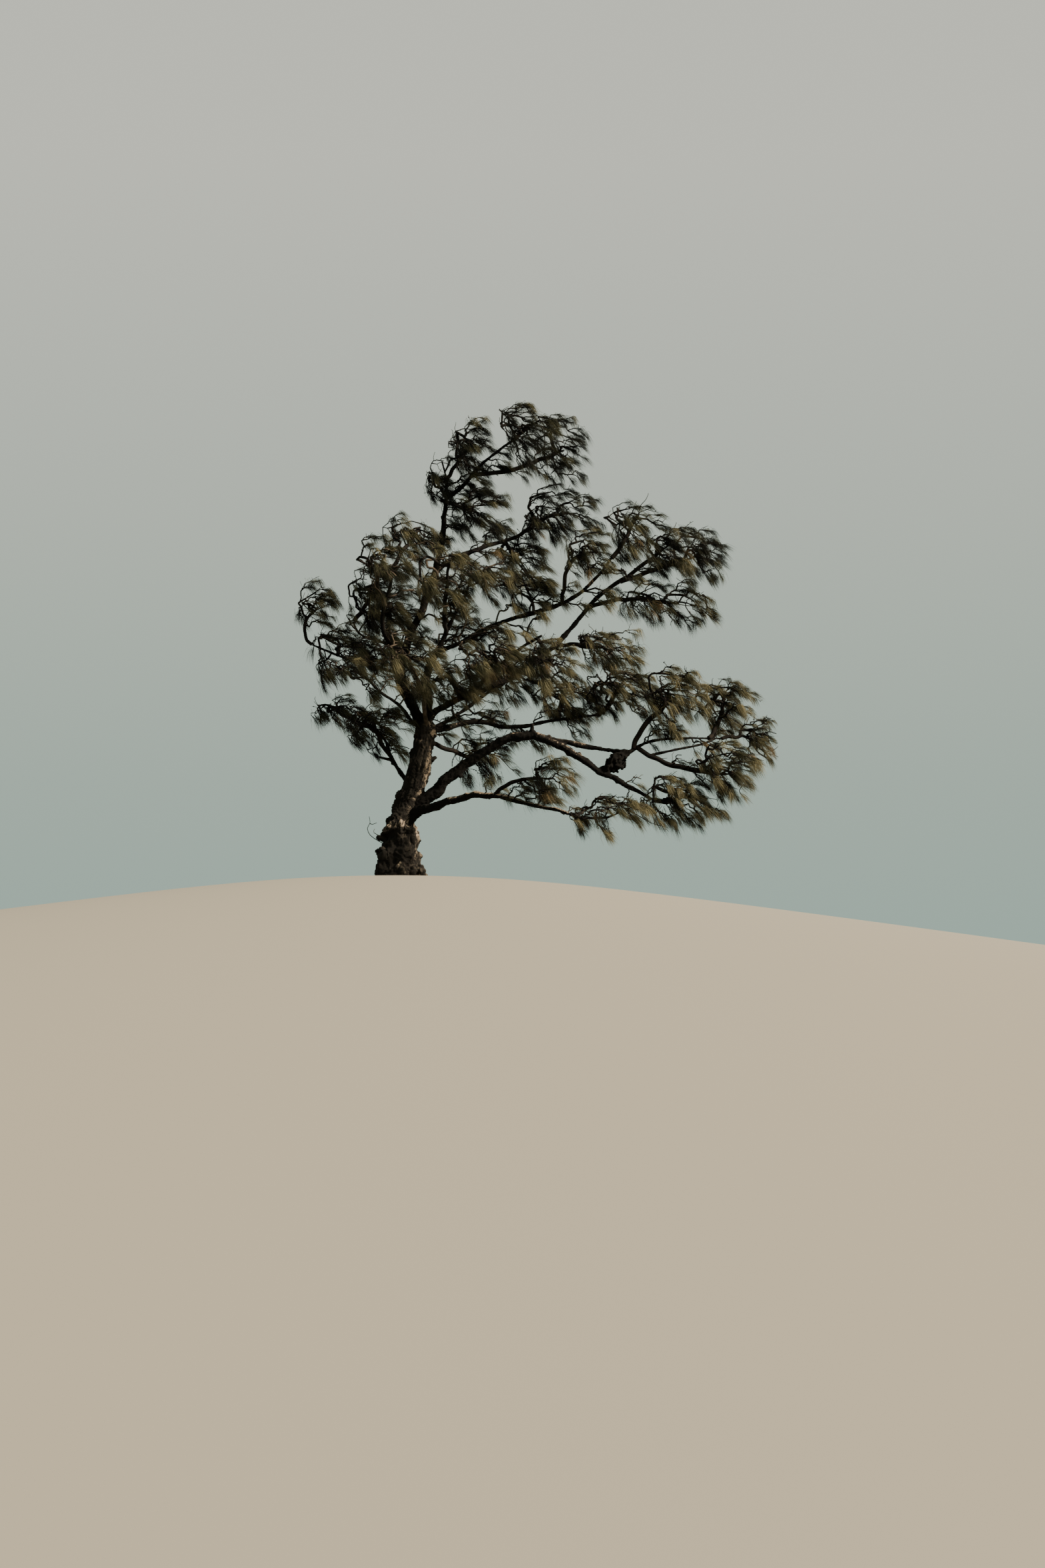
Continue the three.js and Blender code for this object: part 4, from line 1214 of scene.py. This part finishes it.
# The masses' spaces and stems, and the wood that their sprays and tufts keep clear of.
spaces = make_spaces()
stem_thick = {
    name: [STEM_ROOT + STEM_ROOT_PER_METRE * spec["length"] / MILLIMETRES, STEM_TIP]
    for name, spec in MASSES.items()
}
limb_bars = join_bars(bars_of(paths["trunk"], trunk_room), *[
    bars_of(paths[name], lambda share, spec=spec: limb_radius(spec, share)) for name, spec in LIMBS.items()
])
stem_bars = {
    name: bars_of(stems[name], lambda share, thick=stem_thick[name]: along(thick, share)) for name in MASSES
}

# The tree's own box, and how far needles may stand out of it.
box_low, box_high = np.array(cad_low) / METRES, np.array(cad_high) / METRES
furthest_low = box_low - (box_high - box_low) * SPARE
furthest_high = box_high + (box_high - box_low) * SPARE


def in_box(point):
    return bool(((point > box_low) & (point < box_high)).all())


# The tufts, and the twigs as lines with their radii: stems and stout twigs, then fine ones.
all_tufts, stout_wood, fine_wood = [], [], []


# Short side twigs on one twig.
def add_twiglets(line, thick, rng):
    for _ in range(rng.poisson(TWIGLETS)):
        at = rng.integers(1, len(line))
        start, ahead = line[at], unit(line[at] - line[at - 1])
        out = unit(rng.normal(size=3) + ahead * TWIGLET_AHEAD + TWIGLET_LIFT)
        reach = rng.uniform(*TWIGLET_LENGTH)
        end = start + unit(out + TWIGLET_BEND) * reach
        first_pull, last_pull = start + out * reach * TWIGLET_PULL, end - ahead * reach * TWIGLET_END_PULL
        bend = waved(curve(start, first_pull, last_pull, end, TWIGLET_POINTS), rng)
        if in_box(end):
            twiglet = np.vstack([start, bend])
            ends = [min(thick[at], TWIGLET_RADIUS), TWIGLET_RADIUS * TWIGLET_TAPER]
            fine_wood.append((twiglet, over(twiglet, ends)))


# Keeps what has grown on one piece of wood: its twigs and its tufts. A stem has a least thickness.
def keep(wood, tips, kept, stem_least, rng):
    radius = wood.radii(tips)
    for order, chain in enumerate(wood.chains):
        line, thick = wood.places[chain], radius[chain]
        live = thick > 0
        if live.sum() < 2:
            continue
        line, thick = line[live], thick[live]
        if stem_least is not None and order == 0:
            thick = np.maximum(thick, over(line, stem_least))
        else:
            thick[0] = thick[1]
        stout = len(chain) > STOUT_POINTS
        if stout:
            line, thick = (line[::2], thick[::2]) if len(line) > STEPS / 2 else rounded(line, thick)
        (stout_wood if stout else fine_wood).append((line, thick))
        add_twiglets(line, thick, rng)
    all_tufts.extend(tuft for tuft in kept if rng.random() > BARE_SHARE)


def is_free(place):
    return in_box(place) and is_clear(limb_bars, place[None], TUFT_CLEAR)


# Grows one mass from its stem: first twigs with their sprays, then tufts over the sprays and between them.
def grow_mass(order, name):
    space, stem = spaces[name], stems[name]
    rng = np.random.default_rng(MASS_SEED + order)
    far = space["spread"].max() + FAR_BARS
    bars = join_bars(limb_bars, *[stem_bars[other] for other in MASSES if other != name])
    near = off_bars(bars, space["centre"][None])[0] < far
    found = first_units(space, stem, tuple(group[near] for group in bars), stem_bars[name], order + 1)
    wood = Wood()
    wood.add(crooked(stem, STEM_CROOK, STEM_CROOK_SIZE, rng))
    tufts = []
    for each in found:
        start, bend, spray = each["root"], each["bend"], each["spray"]
        root = int(np.argmin(np.linalg.norm(stem - start, axis=1)))
        throat = spray["throat"]
        twig = curve(start, (start + 2 * bend) / 3, (throat + 2 * bend) / 3, throat, FIRST_TWIG_POINTS)
        rib = np.array([spray["corner"](run, 0) for run in RIB_RUNS])
        wood.add(np.vstack([waved(twig, rng), rib]), root)
        tufts += spray_tufts(spray, rng)
    for centre in clump_centres(space, [each["spray"] for each in found], rng):
        tufts += clump_tufts(space, centre, rng)
    tufts = [
        tuft for tuft in tufts
        if in_space(space, tuft[0], TUFT_SLACK)[0]
        and in_space(space, tuft[0] + DROOP * HANG_REACH, HANG_SLACK)[0] and is_free(tuft[0])
    ]
    tips, kept = grow_to(wood, tufts, stem[0], rng)
    keep(wood, tips, kept, np.array(stem_thick[name]) * STEM_LEAST, rng)


# Grows the sprigs of one limb or stem, given by its path, its length, the sprigs' span and their size.
def grow_sprigs(order, path, length, span):
    rng = np.random.default_rng(SPRIG_SEED + order)
    wood, tufts = sprigs_on(path, length, *span, rng)
    tufts = [tuft for tuft in tufts if is_free(tuft[0])]
    tips, kept = grow_to(wood, tufts, path[0], rng)
    keep(wood, tips, kept, None, rng)


for order, name in enumerate(MASSES):
    grow_mass(order, name)

limb_specs = {"trunk": TRUNK, **LIMBS}
roads = [(paths[name], limb_specs[name]["length"], span) for name, span in SPRIGS.items()]
roads += [(walk(start_of(spec), spec), spec["length"], STEM_SPRIGS) for spec in MASSES.values()]
for order, road in enumerate(roads):
    grow_sprigs(order, *road)


def wood_line(name):
    return stems[name] if name in stems else paths[name]


def line_from(name, share, rise, away, length):
    return walk(point_on(wood_line(name), share), {"length": length, "rise": rise, "away": away})


for *foot, thick in BARE_TWIGS:
    line = line_from(*foot)[::BARE_TWIG_STRIDE]
    stout_wood.append((line, over(line, thick)))

for corners in FOOT_TWIGS:
    stout_wood.append(rounded(np.array(corners, float), np.linspace(*FOOT_TWIG_THICK, len(corners))))

mass_names = list(MASSES)


# A piece that stands for the masses.
def mass_piece(*mesh):
    piece = mesh_object(*mesh)
    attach(piece, "root")
    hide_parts(*mass_names)
    return piece


# Pale twigs in the heart stand for painted sunlight; the few elsewhere are paler bark.
def is_pale(line, thick, rng):
    middle = line[len(line) // 2]
    heart = HEART_PALE * max(0, 1 - (np.linalg.norm(middle - HEART) / HEART_REACH) ** 2)
    elsewhere = ELSEWHERE_PALE if middle[2] < PALE_BELOW and thick.max() < ELSEWHERE_THICK else 0
    return rng.random() < max(heart, elsewhere)


rng = np.random.default_rng(PALE_SEED)
for name, wood_lines, sides in (("branches", stout_wood, STOUT_SIDES), ("twigs", fine_wood, FINE_SIDES)):
    pale = [is_pale(line, thick, rng) for line, thick in wood_lines]
    for suffix, wanted, bark in (("", False, twig_bark), ("_pale", True, twig_pale)):
        chosen = [each for each, is_one in zip(wood_lines, pale) if is_one == wanted]
        mass_piece(name + suffix, *tubes(chosen, sides), bark)


# How many other tufts shade each one.
def shades(places):
    tree = tree_of(places)
    return np.array([
        sum(len(tree.find_range(place + SUNWARD * step, SHADE_REACH)) for step in SHADE_STEPS)
        for place in places
    ])


# Fruit in ones and twos beside the twigs' middles, each touching its twig.
def fruit_mesh(rng):
    corners, faces = [], []
    sides = np.arange(FRUIT_SIDES)
    turns = 2 * np.pi * sides[:, None] / FRUIT_SIDES
    here, there, last = 1 + sides, 1 + (sides + 1) % FRUIT_SIDES, np.full(FRUIT_SIDES, FRUIT_SIDES + 1)
    cone = np.vstack([np.stack([0 * sides, here, there], -1), np.stack([last, there, here], -1)])
    for line, thick in fine_wood:
        if len(line) < FRUIT_TWIG_POINTS or rng.random() > FRUIT_SHARE:
            continue
        for _ in range(rng.integers(1, FRUIT_MOST + 1)):
            k = rng.integers(1, len(line) - 1)
            ahead = unit(line[k + 1] - line[k])
            out = across_from(rng.normal(size=3), ahead)
            foot = line[k] + out * thick[k] / 2
            ring = (ahead * np.cos(turns) + np.cross(ahead, out) * np.sin(turns)) * FRUIT_HALF
            faces.append(cone + len(corners) * (FRUIT_SIDES + 2))
            corners.append(np.vstack([foot, foot + out * FRUIT_LONG / 2 + ring, foot + out * FRUIT_LONG]))
    return np.concatenate(corners), np.concatenate(faces)


mass_piece("fruit", *fruit_mesh(np.random.default_rng(FRUIT_SEED)), twig_bark)


# Tint of each tuft, by its tone, with a few dead ones.
def tuft_tints(places, rng):
    out, near, high = places.T
    lit = fade(out, *LIT_OUT) * fade(high, *LIT_LOW)
    near_side = np.clip(-near / NEAR_DEPTH, -1, 1)
    high_up = fade(high + HIGH_LEAN * out, *HIGH_UP)
    tone = TONE + noise_of(places * METRES * TONE_PATCH_SCALE) * TONE_PATCHES
    tone = tone + TONE_LIT * lit + TONE_NEAR * near_side - TONE_HIGH * high_up
    tone = tone + rng.normal(size=len(places)) * TONE_STRAY - TONE_SHADED * shades(places)
    tint = np.clip(np.round(tone), 0, RUST - 1).astype(int)
    tint[(rng.random(len(places)) < RUST_SHARE) & (tint > 1)] = RUST
    return tint


# Needles rooted low in a tuft take the next darker tint, as painted shade at the tuft's base.
rng = np.random.default_rng(NEEDLE_SEED)
tint = tuft_tints(np.array([tuft[0] for tuft in all_tufts]), rng)[:, None]
strips, rooted = needle_strips(all_tufts, rng)
tints = np.where((rooted < SHADED_ROOT) & (tint < RUST), np.maximum(tint - 1, 0), tint)

most = PIECE_TRIANGLES // 2
for number, (label, colour) in enumerate(TINTS):
    chosen = strips[tints == number]
    chosen = chosen[((chosen > furthest_low) & (chosen < furthest_high)).all(axis=(1, 2))]
    material = needle_material("needles_" + label, colour)
    for order in range(math.ceil(len(chosen) / most)):
        strip = chosen[order * most:(order + 1) * most]
        mass_piece(f"needles_{label}_{order + 1}", *strip_mesh(strip), material)


# Trunk and boughs as bodies with the bark's relief.
def add_ball(parts, centre, size):
    place = Vector(centre) * METRES
    bpy.ops.mesh.primitive_ico_sphere_add(subdivisions=BALL_STEPS, radius=size * METRES, location=place)
    parts.append(bpy.context.object)


def trunk_mesh(sides, count):
    line = point_on(paths["trunk"], np.linspace(0, 1, count))
    turns = 2 * np.pi * np.arange(sides) / sides
    left = np.linalg.norm(line - line[-1], axis=1)
    round_off = np.sqrt(1 - CROWN_ROUND * np.maximum(0, 1 - left / CROWN_TAPER) ** 2)
    radius = trunk_radius(line[:, 2][:, None], turns[None]) * round_off[:, None]
    ahead = units(np.gradient(line, axis=0))
    ahead[0] = (0, 0, 1)
    up = units(np.array([0, 1, 0]) - ahead * ahead[:, 1:2])
    return ring_corners(line, np.cross(up, ahead), up, radius, sides), ring_faces(0, count, sides)


def on_trunk(height, turn, out):
    centre = paths["trunk"][np.argmax(paths["trunk"][:, 2] >= height)]
    turn = math.radians(turn)
    away = np.array([math.cos(turn), math.sin(turn), 0])
    return centre + away * (trunk_radius(centre[2], turn) + out), away


# The middle of the ledge.
def ledge_line():
    share = np.linspace(0, 1, LEDGE_POINTS)
    heights, turns, outs = (along(values, share) for values in (LEDGE_HEIGHT, LEDGE_TURN, LEDGE_OUT))
    line = np.array([on_trunk(*each)[0] for each in zip(heights, turns, outs)])
    line[:, 2] = heights
    return line


def add_tube(parts, line, radius, sides):
    parts.append(mesh_object("part", *tubes([(line, radius)], sides), twig_bark))


def add_tapered(parts, line, thick, sides):
    add_tube(parts, line, over(line, thick), sides)


def trunk_parts():
    parts = [mesh_object("part", *trunk_mesh(TRUNK_SIDES, TRUNK_ROWS), twig_bark)]
    for height, turn, size in KNOBS:
        add_ball(parts, on_trunk(height, turn, -size * KNOB_SINK)[0], size * KNOB_FULL)
        for _ in range(KNOB_BUDS):
            aside = random_knobs.normal(size=3)
            place = on_trunk(height, turn, -size * BUD_SINK)[0] + unit(aside) * size * BUD_OUT
            least, more = BUD_SIZE
            add_ball(parts, place, size * (least + more * random_knobs.random()))
    for count, heights, turns, sizes, sink in (
        (GNARLS, GNARL_HEIGHT, (0, 360), GNARL_SIZE, GNARL_SINK),
        (COLUMN_GNARLS, COLUMN_HEIGHT, COLUMN_TURN, COLUMN_SIZE, COLUMN_SINK),
    ):
        for _ in range(count):
            height, turn, size = (random_knobs.uniform(*span) for span in (heights, turns, sizes))
            add_ball(parts, on_trunk(height, turn, -size * sink)[0], size)
    ledge = ledge_line()
    add_tapered(parts, ledge, LEDGE_SIZE, SLIM_SIDES)
    for _ in range(RIM_GNARLS):
        place = ledge[random_knobs.integers(LEDGE_POINTS)] + random_knobs.normal(size=3) * RIM_STRAY
        add_ball(parts, place, random_knobs.uniform(*RIM_SIZE))
    for height, turn, length, thick, rise in STUBS:
        foot, away = on_trunk(height, turn, -STUB_SINK)
        lift = math.radians(rise)
        out = away * math.cos(lift) + np.array([0, 0, math.sin(lift)])
        line = np.linspace(foot, foot + out * (length + STUB_SINK), STUB_POINTS)
        add_tapered(parts, line, [thick * share for share in STUB_TAPER], SLIM_SIDES)
    return parts


def bough_parts():
    parts = []
    for name, spec in LIMBS.items():
        share = np.linspace(0, 1, int(spec["length"] / BOUGH_STEP))
        radius = limb_radius(spec, share)
        line = crooked(point_on(paths[name], share), LIMB_CROOK, radius * LIMB_CROOK_SHARE, random_knobs)
        add_tube(parts, line, radius, BOUGH_SIDES)
    for name, share, aside, rise, size in BOUGH_KNOBS:
        out = heading(rise, aside) * (limb_radius(LIMBS[name], share) - size * BOUGH_KNOB_SINK)
        add_ball(parts, point_on(paths[name], share) + out, size)
    path, spec = paths["bough_burl"], LIMBS["bough_burl"]
    for _ in range(BURL_LUMPS):
        share = random_knobs.uniform(*BURL_LUMP_SPAN)
        near = np.exp(-(((share - spec["burl"][0]) * spec["length"] / BURL_LUMP_NEAR) ** 2))
        place = point_on(path, share) + unit(random_knobs.normal(size=3)) * BURL_LUMP_OUT * near
        add_ball(parts, place, random_knobs.uniform(*BURL_LUMP_SIZE))
    for *ends, thick, sag in LINKS:
        start, end = (point_on(wood_line(name), share) for name, share in ends)
        lead = (end - start) * LINK_BEND
        line = np.vstack([start, curve(start, start + lead, end - lead + np.array(sag), end, LINK_POINTS)])
        add_tapered(parts, crooked(line, LIMB_CROOK, LINK_CROOK, random_knobs), thick, SLIM_SIDES)
    for foot, (name, share), thick in SHOULDERS:
        start, end = on_trunk(*foot)[0], point_on(paths[name], share)
        back = unit(end - point_on(paths[name], share - SHOULDER_LOOK)) * SHOULDER_REACH
        lift = [0, 0, SHOULDER_RISE]
        line = np.vstack([start, curve(start, start + lift, end - back, end, SHOULDER_POINTS)])
        add_tapered(parts, line, thick, BOUGH_SIDES)
    for *foot, thick in BOUGH_STUBS:
        add_tapered(parts, line_from(*foot), thick, STUB_SIDES)
    return parts


def remeshed(parts, name, voxel, bark):
    bpy.ops.object.select_all(action="DESELECT")
    for part in parts:
        part.select_set(True)
    bpy.context.view_layer.objects.active = parts[0]
    bpy.ops.object.join()
    body = bpy.context.object
    remesh = body.modifiers.new("remesh", "REMESH")
    remesh.mode = "VOXEL"
    remesh.voxel_size = voxel
    bpy.ops.object.modifier_apply(modifier=remesh.name)
    body.name = name
    body.data.materials.clear()
    body.data.materials.append(bark)
    return body


# Points along the middle of all limbs, with how far along and how thick each is, in metres.
def limb_samples():
    places, run, thick = [], [], []
    for name, path in paths.items():
        share = np.linspace(0, 1, LIMB_SAMPLES)
        line = point_on(path, share)
        places.append(line * METRES)
        run.append(share * limb_specs[name]["length"] * METRES)
        radius = trunk_radius(line[:, 2], 0) if name == "trunk" else limb_radius(LIMBS[name], share)
        thick.append(radius * METRES)
    return np.vstack(places), np.concatenate(run), np.concatenate(thick)


def vertex_values(mesh, name):
    flat = np.zeros(len(mesh.vertices) * 3, np.float32)
    mesh.vertices.foreach_get(name, flat)
    return flat.reshape(-1, 3).astype(float)


# Painted sunlight on the bark: on its sunny side, on the ledge of the foot and on the tops of some boughs.
def paint_sunlight(places, normals, nearest, patches, on_burl):
    facing = np.clip(normals @ SUNLIT_SIDE * SUNLIT_GAIN - SUNLIT_START, 0, 1)
    painted_light = np.clip(facing * (SUNLIT_LEVEL + SUNLIT_PATCHES * patches), 0, 1) * (1 - on_burl)
    # Painted sunlight on the pale top of the ledge, even where it lies in shade.
    apart = np.min([np.linalg.norm(places - point, axis=1) for point in ledge_line() * METRES], axis=0)
    gain, level = LEDGE_TOP
    on_ledge = np.exp(-((apart / LEDGE_REACH) ** 4)) * np.clip(normals[:, 2] * gain + level, 0, 1)
    level, patchy = LEDGE_LIT
    painted_light = np.maximum(painted_light, on_ledge * (level + patchy * patches))
    painted_light = np.minimum(painted_light, 1 - (1 - LEDGE_PALE) * on_ledge)
    # Painted sunlight on the upper side of some boughs.
    upper = np.clip(normals @ TOP_SIDE * TOP_GAIN - TOP_START, 0, 1)
    upper = upper * np.clip(TOP_LEVEL + TOP_PATCHES * patches, 0, TOP_MOST)
    limb_names, share = list(paths), nearest % LIMB_SAMPLES / LIMB_SAMPLES
    for name, first, last, pale in PALE_TOPS:
        here = (nearest // LIMB_SAMPLES == limb_names.index(name)) & (share >= first) & (share <= last)
        painted_light = np.where(here, np.maximum(painted_light, pale * upper * (1 - on_burl)), painted_light)
    return painted_light


# Furrows run along each limb, and low lumps swell it. The mesh keeps its relief and its painted sunlight, for
# its colour.
def add_relief(body, centres, run, thick):
    mesh = body.data
    places, normals = vertex_values(mesh, "co"), vertex_values(mesh, "normal")
    tree = tree_of(centres)
    nearest = np.array([tree.find(place)[1] for place in places])
    long, thick = run[nearest], thick[nearest]
    turned = units(places - centres[nearest]) * (CORE + thick)[:, None]
    furrows, plates, patches = (
        noise_of(turned * across + np.outer(long, (0, 0, lengthwise)))
        for across, lengthwise in (FURROW_SCALE, PLATE_SCALE, PATCH_SCALE)
    )
    relief = RELIEF_TOP - FURROW_CUT * abs(furrows) + PLATE_LIFT * plates
    lumps = noise_of(places * LUMP_SCALE) + GRIT * noise_of(places * GRIT_SCALE)
    burl = point_on(paths["bough_burl"], LIMBS["bough_burl"]["burl"][0]) * METRES
    on_burl = np.exp(-((places - burl) ** 2).sum(1) / BURL_REACH ** 2)
    rough = noise_of(places * BURL_SCALE) * BURL_ROUGH * on_burl
    high = places[:, 2]
    on_wide = thick > TRUNK_THICK
    foot = np.where(on_wide, fade(high, *FOOT_FADE), 0)
    full = np.where(on_wide, TRUNK_FULLER * fade(high, *FULLER_FADE), 0) * (1 - foot)
    depth = np.clip(thick * FURROW_SHARE, RELIEF_LEAST, FURROW_DEEPEST) * (1 - FOOT_SHALLOWER * foot)
    swell = np.clip(thick * LUMP_SHARE, RELIEF_LEAST, LUMP_DEEPEST) * (1 + FOOT_LUMPIER * foot)
    painted_light = paint_sunlight(places, normals, nearest, patches, on_burl)
    relief = relief * (1 - FOOT_SMOOTHER * foot)
    out = (relief - RELIEF_LEVEL) * depth + lumps * swell + full + rough
    places += normals * (out * fade(high, *GROUND_FADE))[:, None]
    places[:, 2] = np.maximum(places[:, 2], 0)
    mesh.vertices.foreach_set("co", places.astype(np.float32).ravel())
    # The mesh keeps its relief and its painted sunlight as values on its corners.
    for name, values in (("relief", relief - BURL_DARK * on_burl), ("painted_light", painted_light)):
        attribute = mesh.attributes.new(name, "FLOAT", "POINT")
        attribute.data.foreach_set("value", values.astype(np.float32))
    mesh.update()
    mesh.shade_smooth()


samples = limb_samples()
random_knobs = np.random.default_rng(KNOB_SEED)
trunk_body = remeshed(trunk_parts(), "trunk_bark", TRUNK_VOXEL, trunk_bark)
bough_body = remeshed(bough_parts(), "bough_bark", BOUGH_VOXEL, bough_bark)
for body in (trunk_body, bough_body):
    add_relief(body, *samples)
    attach(body, "root")
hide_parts("trunk")
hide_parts(*LIMBS)


# Stage: a plain pale rise, level under the trunk, in rings that widen outwards.
FLOOR_LEVEL = 1.2
FLOOR_ROUND = 3.0
FLOOR_SLOPE = 0.158
FLOOR_RADIUS = 90
FLOOR_SIDES = 96
FLOOR_WIDEN = (1.12, 0.05)
FLOOR_COLOUR = (0.21, 0.195, 0.155, 1)


def make_floor():
    rings = [FLOOR_LEVEL]
    widen, more = FLOOR_WIDEN
    while rings[-1] < FLOOR_RADIUS:
        rings.append(rings[-1] * widen + more)
    rings = np.array(rings)
    drop = FLOOR_SLOPE * (np.hypot(rings - FLOOR_LEVEL, FLOOR_ROUND) - FLOOR_ROUND)
    middles = np.stack([0 * rings, 0 * rings, -drop], -1)
    right, back = np.array([[1, 0, 0]]), np.array([[0, 1, 0]])
    corners = ring_corners(middles, right, back, rings[:, None], FLOOR_SIDES)[:-1]
    faces = ring_faces(0, len(rings), FLOOR_SIDES)[:-FLOOR_SIDES, ::-1]
    material, _, shader = new_material("floor", roughness=0.95)
    shader.inputs["Base Color"].default_value = FLOOR_COLOUR
    floor = mesh_object("floor", corners / METRES, faces, material)


make_floor()

# Camera, at the photograph's angle: low, far off, looking a little up.
CAMERA_PLACE = (2.8163, -69.8649, -4.8873)
CAMERA_PITCH = 5.83
CAMERA_LENS = 70

camera_data = bpy.data.cameras.new("camera")
camera_data.lens = CAMERA_LENS
camera_data.sensor_width = 36
camera_data.clip_end = 500
camera = bpy.data.objects.new("camera", camera_data)
camera.location = CAMERA_PLACE
camera.rotation_euler = Euler((math.radians(90 + CAMERA_PITCH), 0, 0))
bpy.context.scene.collection.objects.link(camera)
bpy.context.scene.camera = camera

# Light: a pale sky, greener lower down, and one soft warm light from the front right.
SKY_LOW = (0.24, 0.44, 0.385)
SKY_MIDDLE = (0.42, 0.52, 0.45)
SKY_HIGH = (0.68, 0.69, 0.60)
SKY_SPAN = (-0.1, 0.3)
SUN_TURN = (60, 0, 64)

world = bpy.data.worlds.new("sky")
world.use_nodes = True
sky_tree = world.node_tree
outward = add_node(sky_tree, "ShaderNodeTexCoord")["Generated"]
upward = add_node(sky_tree, "ShaderNodeSeparateXYZ", {"Vector": outward})["Z"]
lowest, highest = SKY_SPAN
inputs = {"Value": upward, "From Min": lowest, "From Max": highest}
level = add_node(sky_tree, "ShaderNodeMapRange", inputs)["Result"]
sky = add_ramp(sky_tree, level, [(0.0, SKY_LOW), (0.5, SKY_MIDDLE), (1.0, SKY_HIGH)])
sky_tree.links.new(sky, sky_tree.nodes["Background"].inputs["Color"])
bpy.context.scene.world = world

sun_data = bpy.data.lights.new("sun", "SUN")
sun_data.energy = 16
sun_data.angle = math.radians(10)
sun_data.color = (1.0, 0.86, 0.7)
sun = bpy.data.objects.new("sun", sun_data)
sun.rotation_euler = Euler([math.radians(turn) for turn in SUN_TURN])
bpy.context.scene.collection.objects.link(sun)
